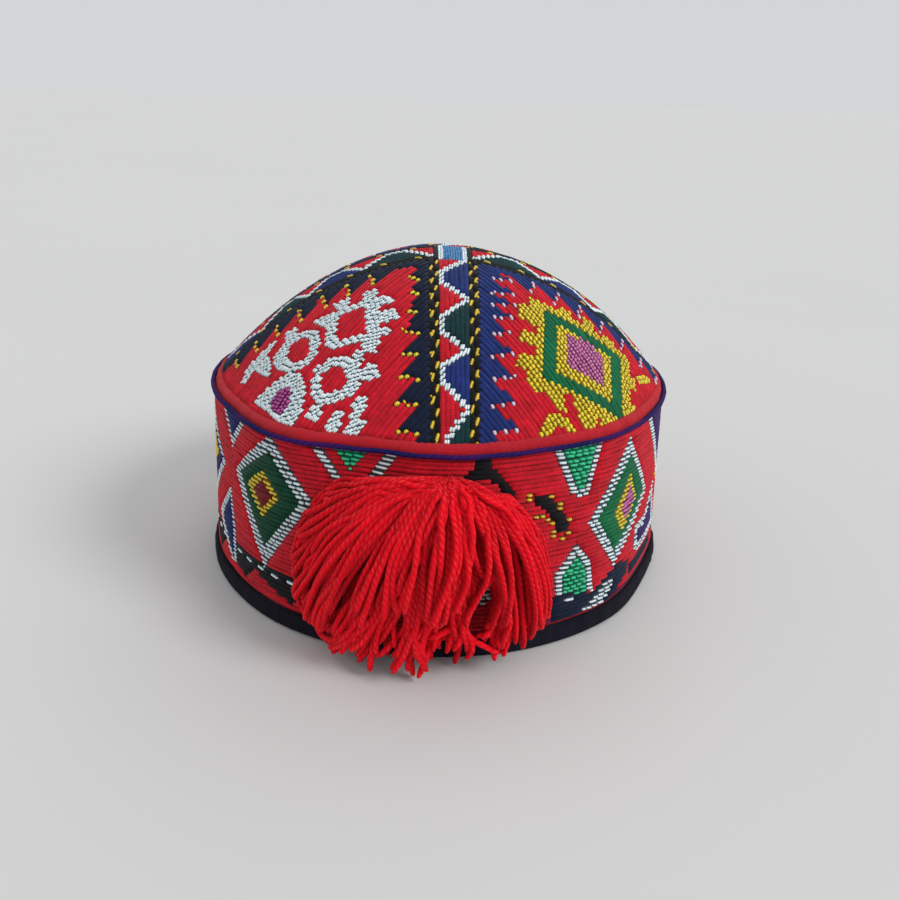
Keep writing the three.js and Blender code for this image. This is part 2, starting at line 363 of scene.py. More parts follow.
# How ribs are laid, in mm: longest step along a rib, how far it strays from its line, how
# deep it sinks in, slant of a stitch and distance between two rows of stitches on a rib.
# Then half the width of a rib and of a stitch as shares of the pitch, and each metallic
# thread's stitch: its length, its rows on a rib, its width.
CROWN_RIBS = {
    "step": 2.9, "wander": 0.12, "sink": -0.5, "slant": 0.3, "row_gap": 0.95,
    "rib_half": 0.54, "stitch_half": 0.44,
    "stitch": {"silver": (2.3, 2, 0.66), "gold": (1.8, 1, 1.0), "bead": (3.6, 1, 0.74),
               "magenta": (1.4, 1, 1.0), "rose": (1.4, 1, 1.0), "sky": (2.0, 2, 0.66),
               "green": (2.4, 1, 1.0), "blush": (2.0, 1, 0.9)},
}
BAND_RIBS = {
    "step": 4.4, "wander": 0.14, "sink": -0.5, "slant": -0.12, "row_gap": 0.8,
    "rib_half": 0.56, "stitch_half": 0.44,
    "stitch": {"silver": (3.4, 1, 0.82), "gold": (2.0, 1, 0.9), "bead": (2.2, 1, 1.0),
               "magenta": (1.5, 1, 1.0), "rose": (1.5, 1, 0.9), "sky": (2.0, 1, 1.0),
               "green": (2.8, 1, 0.9), "blush": (3.0, 1, 0.9)},
}

# Lengths of thread shorter than this are left out. Metallic ones shorter than the next
# have no thread under them, and that thread lies this much lower.
SHORTEST_RUN = 0.55
UNDERLAY_LEAST = 2.6
UNDERLAY_SINK = 0.22

# Plain roll above the seam: arc and distance off the crown, over the top and back under it
RIM_TOP = (
    (102.5, -0.9), (102.8, -0.35), (103.4, 0.12), (104.2, 0.4), (105.0, 0.48), (105.8, 0.36),
    (106.4, 0.1), (106.9, -0.25),
)
RIM_UNDER = ((105, -1.3), (103.2, -1.3))

# Section of the binding: distance off the band's outside, height, whether it ripples
BINDING_SECTION = (
    (1.5, 0.9, False), (1.75, 2.4, True), (1.75, 4.4, True), (1.55, 6.2, True), (1.0, 7.3, True),
    (0.3, 7.6, True), (-0.5, 7.2, False), (-0.7, 1.4, False), (-3.0, 1.4, False),
    (-3.1, 7.2, False), (-3.7, 7.5, True), (-4.3, 6.6, True), (-4.5, 3.6, True),
    (-4.4, 1.2, False), (-3.6, 0.15, False), (-1.5, 0.02, False), (0.6, 0.15, False),
)

# Courses of yarn from the left of the tassel to its right, as arc, height and distance off
# the band: where the yarn heads from the gather, where it bends, and where it ends
YARN_OVER = (
    ((-5, 69, 5), (-24, 70, 8), (-39, 62, 5)),
    ((-7, 69, 8), (-27, 71, 13), (-45, 54, 7)),
    ((-9, 69, 11), (-30, 69, 18), (-50, 35, 8)),
    ((-10, 69, 14), (-30, 66, 22), (-47, 22, 10)),
    ((-8, 69, 17), (-25, 63, 25), (-38, 14, 12)),
    ((-6, 69, 18), (-19, 61, 27), (-26, 23, 18)),
    ((-3, 69, 19), (-13, 61, 28), (-16, 29, 22)),
    ((0, 69, 19), (-6, 62, 28), (-8, 32, 23)),
    ((3, 69, 19), (0, 62, 28), (-1, 30, 23)),
    ((6, 69, 19), (7, 62, 27), (7, 28, 20)),
    ((8, 69, 18), (12, 65, 25), (10, 39, 20)),
    ((11, 69, 16), (25, 62, 22), (22, 8, 13)),
    ((14, 68, 13), (29, 62, 18), (35, 12, 9)),
    ((16, 67, 10), (35, 60, 13), (41, 21, 7)),
    ((15, 66, 6), (32, 61, 7), (43, 40, 4)),
)
YARN_UNDER = (
    ((-9, 68, 4), (-40, 47, 5), (-49, 17, 4)),
    ((-7, 67, 6), (-32, 39, 9), (-41, 9, 6)),
    ((-5, 67, 8), (-24, 36, 14), (-32, 8, 9)),
    ((-3, 66, 9), (-16, 36, 18), (-24, 7, 14)),
    ((0, 66, 10), (-10, 37, 20), (-16, 7, 15)),
    ((2, 67, 10), (-4, 37, 20), (-9, 8, 15)),
    ((4, 67, 10), (2, 37, 19), (-3, 9, 14)),
    ((6, 67, 10), (6, 35, 16), (6, 11, 12)),
    ((9, 66, 9), (11, 31, 14), (14, 9, 11)),
    ((12, 66, 8), (25, 37, 14), (22, 9, 10)),
    ((14, 67, 7), (31, 41, 11), (29, 10, 7)),
    ((16, 66, 5), (37, 43, 7), (38, 14, 4)),
)

# Room of the tassel at each height: reach to the left and right of its middle, and depth.
# Its core is the place that the strands are seen to lie round.
YARN_MIDDLE = -2
YARN_CORE = (-2, -88, 40)
YARN_ROOM = (
    (0, 27, 22, 12), (3, 29, 26, 15), (8, 36, 34, 18), (15, 43, 40, 21), (25, 47, 42, 24),
    (36, 47, 40, 26), (47, 44, 37, 25), (56, 40, 31, 21), (63, 34, 25, 16), (70, 24, 18, 11),
)

# How high the yarn reaches against the band, by arc
YARN_CEILING = (
    (-52, 60), (-36, 64.5), (-15, 67.5), (3.5, 70), (12, 67.5), (18, 62.5), (32, 59.5), (46, 54),
)

# Hollow at the lower right of the tassel, on the band's map as seen from the front and
# above: heights with its middle, then heights with half its width
HOLLOW_MIDDLE = ((12, 30), (12.0, 17.0))
HOLLOW_HALF = ((7, 13, 25, 31), (0, 4.0, 3.6, 0))
SIGHT_SLOPE = 0.6

# Bundles of the tassel: table of courses, share of the strands, share of the distance off
# the band, how far the ends curl, and how untidy they are, in mm
YARN_BUNDLES = (
    (YARN_UNDER, 0.17, 0.75, 3.6, 2.4),
    (YARN_UNDER, 0.38, 1.0, 4.0, 2.2),
    (YARN_OVER, 0.05, 0.45, 1.0, 2.0),
    (YARN_OVER, 0.14, 0.76, 1.6, 2.6),
    (YARN_OVER, 0.26, 1.0, 2.2, 3.0),
)

# Painted shade of each bundle: the yarn of the bundles that lie nearer the band, inside the tassel,
# is darker
YARN_DEPTH_SHADE = (0.9, 1.05, 0.85, 0.96, 1.0)

# Locks of a bundle: how many, how far each strays in arc, height and distance off the
# band, and how far its strands keep their distance from its middle
YARN_LOCKS = 15
LOCK_STRAY = (2.1, 1.6, 1.8)
LOCK_WIDTH = 0.7

# Strands: share that cross to other locks, the height of the lowest tip, how far a tip may
# lie below or above its course, and how far the strands are apart where they are gathered
CROSSING_SHARE = 0.1
TIP_LEAST = 4.5
TIP_STRAY = (-1.5, 4.0)
GATHER_WIDTH = 7

# Settling: points of a strand, share of an overlap that one round takes away, its longest
# push in mm, and how far a point goes towards the middle between its neighbours
YARN_POINTS = 46
PUSH_SHARE = 0.28
LONGEST_PUSH = 0.9
SMOOTHING = 0.22

# Lamps: name, place, width in degrees, strength
LAMPS = (
    ("key_light", (0.8, -0.42, 0.78), 24, 1.46),
    ("back_light", (0.25, 0.9, 0.8), 40, 0.35),
)
LAMPS_AIM = (0, 0, 0.05)
SKY_COLOUR = (0.96, 0.98, 1.0, 1)
SKY_STRENGTH = 0.68

# Camera: place in metres, how far it turns to the right, looks down and rolls to its left
# in degrees, and the length of its lens and the width of its sensor in mm
CAMERA_PLACE = (0, -0.36122, 0.19267)
CAMERA_TURN = 0.825
CAMERA_DIP = 22.878
CAMERA_ROLL = 1.555
CAMERA_LENS = 36
CAMERA_SENSOR = 36


def fade(degrees, reach):
    """1 at the middle of a swell, falling smoothly to 0 at its reach."""
    away = np.abs((degrees + 180) % 360 - 180)
    return np.where(away < reach, np.cos(away / reach * (np.pi / 2)) ** 2, 0)


def pressed(radius, height, angle):
    """The place, in mm, of a point given by radius, height and angle from the front."""
    degrees = np.degrees(angle)
    lift = np.clip(height / SEAM_HEIGHT, 0, 1)
    spread = np.minimum(radius / SEAM_RADIUS, 1)
    slope = np.where(height > SEAM_HEIGHT + CROWN_START, 4 * spread**2 * (1 - spread**2), 0)
    outwards = np.zeros_like(spread)
    upwards = np.zeros_like(spread)
    for middle, reach, seam, foot, crown in SWELLS:
        weight = fade(degrees - middle, reach)
        outwards += weight * ((foot + (seam - foot) * lift) * spread**3 + crown * slope * spread)
        upwards += weight * crown * slope * (1 - spread**2)
    radius = radius + outwards
    return np.stack([radius * np.sin(angle), -radius * np.cos(angle), height + upwards], -1)


def crown_height(radius):
    """Height of the crown's outside at a radius, in mm."""
    return SEAM_HEIGHT + CROWN_RISE * (1 - (radius / SEAM_RADIUS) ** CROWN_FULLNESS)


def band_radius(height):
    """Radius of the band's outside at a height, in mm."""
    return BAND_FOOT_RADIUS + (SEAM_RADIUS - BAND_FOOT_RADIUS) * height / SEAM_HEIGHT


CROWN_RADII = np.linspace(0, SEAM_RADIUS, 800)
CROWN_ARCS = np.concatenate([
    [0],
    np.cumsum(np.hypot(np.diff(CROWN_RADII), np.diff(crown_height(CROWN_RADII)))),
])
CROWN_ARC = float(CROWN_ARCS[-1])


def crown_point(u, v):
    """A place on the crown's outside from its map."""
    arc = np.hypot(u, v)
    radius = np.interp(arc, CROWN_ARCS, CROWN_RADII)
    return pressed(radius, crown_height(radius), np.arctan2(u, v))


def band_point(around, height):
    """A place on the band's outside from its map."""
    return pressed(band_radius(height), height, around / BAND_MAP_RADIUS)


def unit(vectors):
    """The vectors at length 1."""
    return vectors / np.maximum(np.linalg.norm(vectors, axis=-1, keepdims=True), 1e-12)


def on_cloth(surface, u, v, raised=0.0):
    """Places and outward normals on a surface, raised off it by some mm."""
    step = 0.05
    along_u = surface(u + step, v) - surface(u - step, v)
    along_v = surface(u, v + step) - surface(u, v - step)
    normals = unit(np.cross(along_u, along_v))
    if surface is crown_point:
        normals = -normals
    raised = np.asarray(raised, float).reshape(-1, 1)
    return surface(u, v) + normals * raised, normals


def inside(outline, x, y):
    """Whether each point lies inside a closed outline."""
    hit = np.zeros(x.shape, bool)
    previous = outline[-1]
    for corner in outline:
        (x0, y0), (x1, y1) = previous, corner
        if y0 != y1:
            crosses = (y0 > y) != (y1 > y)
            hit ^= crosses & (x < (x1 - x0) * (y - y0) / (y1 - y0) + x0)
        previous = corner
    return hit


def near_line(points, x, y):
    """Distance of each point from an open line."""
    nearest = np.full(x.shape, 1e9)
    for (x0, y0), (x1, y1) in zip(points, points[1:]):
        dx, dy = x1 - x0, y1 - y0
        share = np.clip(((x - x0) * dx + (y - y0) * dy) / (dx * dx + dy * dy), 0, 1)
        nearest = np.minimum(nearest, np.hypot(x - x0 - share * dx, y - y0 - share * dy))
    return nearest


def thread(name):
    """A thread's number in the table of threads."""
    return THREAD_NAMES.index(name)


def paint(threads, shapes, x, y, shift=0.0):
    """Paints a table of shapes, moved along x, over thread numbers."""
    for name, outline in shapes:
        threads[inside(outline, x - shift, y)] = thread(name)


def saw(teeth, across, along):
    """Whether a point is on a field's teeth: beyond its edge and inside one of them."""
    tips, roots = teeth
    hit = np.zeros(across.shape, bool)
    for tip, start, end in zip(tips, roots, roots[1:]):
        hit |= inside(((FIELD_EDGE - 0.5, start), tip, (FIELD_EDGE - 0.5, end)), across, along)
    return hit


def tooth_dots(teeth, across, along):
    """Whether a point is on one of the three bright stitches at each tooth's far edge."""
    tips, roots = teeth
    hit = np.zeros(across.shape, bool)
    for (tip_across, tip_along), end in zip(tips, roots[1:]):
        for share in DOT_SHARES:
            x = tip_across + (FIELD_EDGE - tip_across) * share
            y = tip_along + (end - tip_along) * share + 0.4
            hit |= np.hypot(across - x, along - y) < DOT_RADIUS
    return hit


def arm_threads(across, along, side_arm):
    """Threads of an arm's strip and of the black lines beside it."""
    threads = np.full(across.shape, thread("black"))
    line = np.interp(along, [point[1] for point in MEANDER], [point[0] for point in MEANDER])
    bay = np.searchsorted(BAY_ENDS, along) % 2
    blue, dark = (0, 1) if side_arm else (1, 0)
    strip = np.abs(across) < STRIP_HALF
    threads[strip & (across < line)] = thread("crimson")
    threads[strip & (across >= line) & (bay == blue)] = thread("royal")
    threads[strip & (across >= line) & (bay == dark)] = thread("teal")
    threads[strip & (near_line(MEANDER, across, along) < MEANDER_HALF)] = thread("silver")
    column = np.round((np.abs(across) - STRIP_HALF) / ARM_RIB - 0.5)
    phase = np.where(across > 0, 2.0, 0.0) + column * FRONT_DASHES[0] / 2
    step, length = SIDE_DASHES if side_arm else FRONT_DASHES
    dash = (along + phase) % step < length
    if side_arm:
        dash &= column < 1
    threads[~strip & dash & (along > DASHES_FROM)] = thread("bead")
    return threads


def crown_threads(u, v):
    """Thread number of each point of the crown's map."""
    cos, sin = math.cos(PATTERN_TURN), math.sin(PATTERN_TURN)
    x, y = u - PATTERN_MIDDLE[0], v - PATTERN_MIDDLE[1]
    across, along = x * cos - y * sin, y * cos + x * sin
    back = along < 0
    p, q = np.where(back, -across, across), np.abs(along)
    left = p < 0
    threads = np.full(u.shape, thread("crimson"))
    side, ahead = np.abs(p), q
    field = (side < FIELD_EDGE) | (ahead < FIELD_EDGE)
    field |= left & (saw(TEETH_LEFT, side, ahead) | saw(TEETH_SIDE, ahead, side))
    shifted = ahead + SIDE_TEETH_SHIFT
    field |= ~left & (saw(TEETH_RIGHT, side, ahead) | saw(TEETH_SIDE, shifted, side))
    threads[field & left] = thread("navy")
    threads[field & ~left] = thread("royal")
    dots = left & (tooth_dots(TEETH_LEFT, side, ahead) | tooth_dots(TEETH_SIDE, ahead, side))
    threads[dots] = thread("gold")
    dots = ~left & (tooth_dots(TEETH_RIGHT, side, ahead) | tooth_dots(TEETH_SIDE, shifted, side))
    threads[dots] = thread("blush")
    field |= dots
    chart_u = p * cos + q * sin + PATTERN_MIDDLE[0]
    chart_v = q * cos - p * sin + PATTERN_MIDDLE[1]
    paint(threads, RINGS, np.where(left & ~field, chart_u, 1e3), chart_v)
    paint(threads, RHOMBUS, np.where(~left & ~field, chart_u, 1e3), chart_v)
    front_arm = side < ARM_HALF
    arm = arm_threads(p, q, False)
    threads[front_arm] = arm[front_arm]
    side_arm = (np.abs(along) < ARM_HALF) & (side >= ARM_HALF - 1.0)
    arm = arm_threads(along, side, True)
    threads[side_arm] = arm[side_arm]
    threads[(side < HUB_SILVER[0]) & (q < HUB_SILVER[1])] = thread("silver")
    threads[(side < HUB_SKY[0]) & (q < HUB_SKY[1])] = thread("sky")
    return threads


def band_threads(around, height):
    """Thread number of each point of the band's map."""
    threads = np.full(around.shape, thread("crimson"))
    around = (around + BAND_TURN / 2) % BAND_TURN - BAND_TURN / 2
    border = (around < BORDER_LEFT) | (around > BORDER_RIGHT)
    wave = (around + SAW_SHIFT) % SAW_LENGTH
    saw_foot = np.where(wave < SAW_RISE, 9.4 + wave * 0.9, 16.7 - (wave - SAW_RISE) * 0.32)
    threads[border & (height < BORDER_TOP) & (height > saw_foot)] = thread("black")
    low, high = DASH_ROWS
    dash = ((around + 3 * (height > 20)) % 8.2 < 4.4) & (height > low) & (height < high)
    threads[border & dash] = thread("silver")
    threads[~border & (height < PLUM_TOP)] = thread("plum")
    for shapes, middles in BAND_MOTIFS:
        for middle in middles:
            paint(threads, shapes, around, height, middle)
    return threads


class Paths:
    """Collects open paths of thread, with what the sweep needs at each of their points."""

    def __init__(self):
        self.parts = {"place": [], "up": [], "thickness": [], "colour": [], "along": []}
        self.edges = []
        self.count = 0

    def add(self, places, ups, thickness, colour, along):
        """Adds one path: places in mm, directions upwards from the cloth, and the length
        passed. Thickness and colour may be one value or one for each point."""
        number = len(places)
        self.parts["place"].append(places * MM)
        self.parts["up"].append(ups)
        self.parts["thickness"].append(np.broadcast_to(thickness, number))
        self.parts["colour"].append(np.broadcast_to(colour, (number, 4)))
        self.parts["along"].append(along)
        first = self.count + np.arange(number - 1)
        self.edges.append(np.stack([first, first + 1], -1))
        self.count += number

    def mesh(self, name):
        """The paths as a mesh of edges, with their values as attributes."""
        place = np.concatenate(self.parts["place"])
        edges = np.concatenate(self.edges)
        mesh = bpy.data.meshes.new(name)
        mesh.vertices.add(len(place))
        mesh.vertices.foreach_set("co", place.astype(np.float32).ravel())
        mesh.edges.add(len(edges))
        mesh.edges.foreach_set("vertices", edges.astype(np.int32).ravel())
        for attribute, kind, field, key in (
            ("thread_up", "FLOAT_VECTOR", "vector", "up"),
            ("thickness", "FLOAT", "value", "thickness"),
            ("thread_colour", "FLOAT_COLOR", "color", "colour"),
            ("along", "FLOAT", "value", "along"),
        ):
            values = np.concatenate(self.parts[key]).astype(np.float32)
            layer = mesh.attributes.new(attribute, kind, "POINT")
            layer.data.foreach_set(field, values.ravel())
        return mesh


class NodeTree:
    """Adds nodes of any kind to a tree, with their settings and sockets."""

    def __init__(self, tree):
        self.tree = tree

    def add(self, kind, settings=None, sockets=None):
        """Adds one node. A socket's value may be a plain value or a socket to link from."""
        node = self.tree.nodes.new(kind)
        for name, value in (settings or {}).items():
            setattr(node, name, value)
        for name, value in (sockets or {}).items():
            self.feed(node.inputs[name], value)
        return node

    def feed(self, socket, value):
        """Links a socket, or sets its value."""
        if isinstance(value, Signal):
            value = value.socket
        if isinstance(value, bpy.types.NodeSocket):
            self.tree.links.new(value, socket)
        else:
            socket.default_value = value


class Signal:
    """A number or colour in a material. Python's operators on it add Math nodes."""

    def __init__(self, material, socket):
        self.material = material
        self.socket = socket

    def maths(self, operation, first, second):
        """Adds one Math node."""
        node = self.material.add("ShaderNodeMath", {"operation": operation}, {0: first, 1: second})
        return Signal(self.material, node.outputs[0])

    def __add__(self, other):
        return self.maths("ADD", self, other)

    def __radd__(self, other):
        return self.maths("ADD", other, self)

    def __sub__(self, other):
        return self.maths("SUBTRACT", self, other)

    def __rsub__(self, other):
        return self.maths("SUBTRACT", other, self)

    def __mul__(self, other):
        return self.maths("MULTIPLY", self, other)

    def __rmul__(self, other):
        return self.maths("MULTIPLY", other, self)

    def __pow__(self, other):
        return self.maths("POWER", self, other)

    def sine(self):
        """The sine of the value."""
        return self.maths("SINE", self, 0.0)


class Finish(NodeTree):
    """A material under construction, on Object coordinates and its piece's attributes."""

    def __init__(self, name):
        self.material = bpy.data.materials.new(name)
        self.material.use_nodes = True
        super().__init__(self.material.node_tree)
        self.shader = self.tree.nodes["Principled BSDF"]
        self.coordinates = self.add("ShaderNodeTexCoord").outputs["Object"]

    def signal(self, kind, settings=None, sockets=None, output=0):
        """Adds a node and returns one of its outputs."""
        return Signal(self, self.add(kind, settings, sockets).outputs[output])

    def attribute(self, name, output="Fac"):
        """One of the piece's own attributes."""
        return self.signal("ShaderNodeAttribute", {"attribute_name": name}, output=output)

    def axes(self, vector):
        """The three numbers of a vector."""
        node = self.add("ShaderNodeSeparateXYZ", sockets={0: vector})
        return [Signal(self, output) for output in node.outputs]

    def section(self):
        """Where a point lies on a thread's section: from -1 below to 1 at its crest, and
        from side to side."""
        return self.axes(self.attribute("profile", "Vector"))[:2]

    def noise(self, scale, detail=3.0, roughness=0.55):
        """Noise on Object coordinates, from 0 to 1. scale is in cells per metre."""
        sockets = {"Vector": self.coordinates, "Scale": scale, "Detail": detail,
                   "Roughness": roughness}
        return self.signal("ShaderNodeTexNoise", sockets=sockets)

    def mix(self, share, first, second, blend="MIX"):
        """Mixes two colours."""
        settings = {"data_type": "RGBA", "blend_type": blend}
        return self.signal("ShaderNodeMix", settings, {0: share, 6: first, 7: second}, 2)

    def scaled(self, colour, amount):
        """A colour made lighter or darker by a number."""
        sockets = {0: colour, "Scale": amount}
        return self.signal("ShaderNodeVectorMath", {"operation": "SCALE"}, sockets)

    def between(self, value, low, high, to_low=0.0, to_high=1.0):
        """A value carried from one range to another, clamped."""
        sockets = {0: value, 1: low, 2: high, 3: to_low, 4: to_high}
        return self.signal("ShaderNodeMapRange", {"clamp": True}, sockets)

    def bump(self, height, depth, strength=1.0):
        """A normal raised by a height. depth is in metres."""
        sockets = {"Height": height, "Distance": depth, "Strength": strength}
        return self.signal("ShaderNodeBump", sockets=sockets)

    def finished(self, constants, **sockets):
        """Feeds the shader and returns the material."""
        for name, value in constants.items():
            self.shader.inputs[name].default_value = value
        for name, value in sockets.items():
            self.feed(self.shader.inputs[name.replace("_", " ")], value)
        return self.material


def cotton_thread_finish():
    """Matt cotton thread, laid in short slanting stitches over each rib, with painted shade at each
    rib's sides.
    """
    finish = Finish("Ribbed cotton thread")
    crest, across = finish.section()
    along = finish.attribute("along")
    slant = (along * 6.2 + across * 2.6 + finish.noise(700, 2.0) * 4.0).sine()
    stitch = slant * 0.5 + 0.5
    # Painted shade: each rib darker at its sides, towards the grooves between ribs, and at full tone
    # on its crest
    groove_shade = finish.between(crest, 0.0, 0.9, 0.55, 1.05)
    patch = finish.between(finish.noise(110, 3.0), 0.3, 0.7, 0.84, 1.14)
    blotch = finish.between(finish.noise(520, 3.0), 0.32, 0.68, 0.8, 1.14)
    fibre = finish.between(finish.noise(2600, 3.0), 0.3, 0.7, 0.86, 1.12)
    light = groove_shade * patch * blotch * fibre * (stitch * 0.2 + 0.88)
    colour = finish.scaled(finish.attribute("thread_colour", "Color"), light)
    height = stitch * 0.7 + finish.noise(3200, 2.0) * 0.6
    return finish.finished(
        {"Roughness": 0.82, "Specular IOR Level": 0.2, "Sheen Weight": 0.06,
         "Sheen Roughness": 0.5},
        Base_Color=colour,
        Normal=finish.bump(height, 0.00018, 0.8),
    )


def metal_thread_finish():
    """Glittering metallic thread, with a painted highlight on top of each stitch, painted shade at
    its sides and painted glints.
    """
    finish = Finish("Metallic thread")
    crest, across = finish.section()
    along = finish.attribute("along")
    flake = finish.noise(2300, 4.0, 0.7)
    wrap = (along * 9.0 + across * 2.0 + finish.noise(900, 2.0) * 5.0).sine() * 0.5 + 0.5
    tint = finish.attribute("thread_colour", "Color")
    # Painted shade: a darker, teal-tinted copy of the thread's own colour, for the sides of each
    # stitch
    shade = finish.mix(1.0, tint, tint, "MULTIPLY")
    shade = finish.mix(1.0, shade, (0.14, 0.34, 0.4, 1), "MULTIPLY")
    # Share of the painted highlight: most on each stitch's crest, broken up by glitter noise and the
    # foil's wrap
    body = finish.between(crest * 0.9 + flake * 1.2 + wrap * 0.4, 0.95, 1.65)
    mixed = finish.mix(body, shade, tint)
    # Painted glints: white mixed into the colour where the glitter noise is highest
    glint = finish.mix(finish.between(flake, 0.6, 0.72, 0.0, 0.55), mixed, (1, 1, 1, 1))
    rough = finish.between(flake, 0.3, 0.7, 0.48, 0.28)
    height = flake * 0.8 + wrap * 0.4
    return finish.finished(
        {"Metallic": 0.12, "Specular IOR Level": 0.7},
        Base_Color=glint,
        Roughness=rough,
        Normal=finish.bump(height, 0.0002, 0.7),
    )


def plied(finish, plies, turns_per_mm):
    """Height of the plies that wind round a thread, from 0 in a valley to 1 on a ply."""
    crest, across = finish.section()
    angle = crest.maths("ARCTAN2", across, crest)
    wind = angle * float(plies) + finish.attribute("along") * (2 * math.pi * turns_per_mm)
    return ((wind + math.pi / 2).sine() * 0.5 + 0.5) ** 0.6


def yarn_finish():
    """Soft plied yarn with loose fibres, painted shade between its plies and at each strand's sides,
    and painted highlights on the plies.
    """
    finish = Finish("Red plied yarn")
    ply = plied(finish, 3, 1 / 2.4)
    crest = finish.section()[0]
    fibre = finish.noise(2400, 4.0, 0.65)
    patch = finish.between(finish.noise(90, 3.0), 0.3, 0.7, 0.86, 1.1)
    clear = finish.between(finish.noise(160, 2.0), 0.35, 0.65, 0.2, 1.0)
    # Painted shade: darker in the valleys between plies and lighter on them, broken up by noise,
    # times a random tone
    light = (finish.between(ply, 0.1, 1.0, -0.15, 0.08) * clear + 1.0) * patch
    light = light * finish.between(fibre, 0.3, 0.7, 0.88, 1.1)
    # Painted shade at each strand's sides, where it lies against its neighbours; its crest faces out
    # of the tassel
    light = light * finish.between(crest, -0.2, 0.75, 0.7, 1.04)
    colour = finish.scaled(finish.attribute("thread_colour", "Color"), light)
    # Painted highlight: a pinkish light colour mixed in on the ply tops of each strand's crest
    shine = finish.between(ply * crest + fibre * 0.3, 0.8, 1.2, 0.0, 0.42) * clear
    colour = finish.mix(shine, colour, (*screen(255, 96, 92), 1))
    return finish.finished(
        {"Roughness": 0.9, "Specular IOR Level": 0.12, "Sheen Weight": 0.12,
         "Sheen Roughness": 0.4, "Sheen Tint": (1.0, 0.35, 0.35, 1),
         "Subsurface Weight": 0.35, "Subsurface Radius": (1.0, 0.16, 0.16),
         "Subsurface Scale": 0.003},
        Base_Color=colour,
        Normal=finish.bump(ply * 0.9 + fibre * 0.8, 0.00026, 0.7),
    )


def cord_finish():
    """Silky twisted cord, violet shifting to navy."""
    finish = Finish("Twisted seam cord")
    shift = finish.between(finish.noise(55, 2.0), 0.35, 0.62)
    tint = finish.mix(shift, (*screen(18, 20, 80), 1), (*screen(56, 15, 88), 1))
    fibre = finish.noise(3000, 3.0)
    ply = plied(finish, 2, 1 / 2.6)
    # Painted shade in the valleys between the two plies, lighter on the plies
    light = finish.between(ply, 0.0, 1.0, 0.62, 1.12)
    colour = finish.scaled(tint, light * finish.between(fibre, 0.3, 0.7, 0.85, 1.1))
    return finish.finished(
        {"Roughness": 0.75, "Specular IOR Level": 0.12},
        Base_Color=colour,
        Normal=finish.bump(ply * 0.8 + fibre * 0.5, 0.0002, 0.6),
    )


def weave_finish(name, tint, dark, threads_per_metre, depth, sheen, roughness):
    """Plain woven cloth: threads over and under, on Object coordinates."""
    finish = Finish(name)
    x, y, z = finish.axes(finish.coordinates)
    turn = 2 * math.pi * threads_per_metre
    wobble = finish.noise(300, 2.0) * 3.0
    weave = (x * turn + wobble).sine() * (y * turn + wobble).sine()
    weave = weave * (z * turn).sine() * 0.5 + 0.5
    fuzz = finish.noise(1900, 4.0, 0.7)
    patch = finish.noise(60, 3.0)
    share = finish.between(weave * 0.35 + fuzz * 0.4 + patch * 0.45, 0.3, 0.85)
    colour = finish.mix(share, (*dark, 1), (*tint, 1))
    return finish.finished(
        {"Roughness": roughness, "Specular IOR Level": 0.25, "Sheen Weight": sheen,
         "Sheen Roughness": 0.5},
        Base_Color=colour,
        Normal=finish.bump(weave * 0.5 + fuzz, depth, 0.8),
    )


def ground_finish(name):
    """The plain crimson cloth under ribs and stitches."""
    ground = screen(*THREADS["crimson"][0])
    return weave_finish(name, ground, screen(110, 8, 20), 900, 0.0002, 0.2, 0.85)


FINISHES = {}


def thread_finish(kind):
    """The shared finish of the cotton or the metallic threads."""
    if kind not in FINISHES:
        FINISHES[kind] = cotton_thread_finish() if kind == "cotton" else metal_thread_finish()
    return FINISHES[kind]


def floor_finish():
    """Plain pale floor."""
    finish = Finish("Pale floor")
    tone = finish.between(finish.noise(3, 2.0), 0.3, 0.7)
    colour = finish.mix(tone, (0.642, 0.637, 0.632, 1), (0.652, 0.647, 0.642, 1))
    return finish.finished({"Roughness": 0.85, "Specular IOR Level": 0.15}, Base_Color=colour)


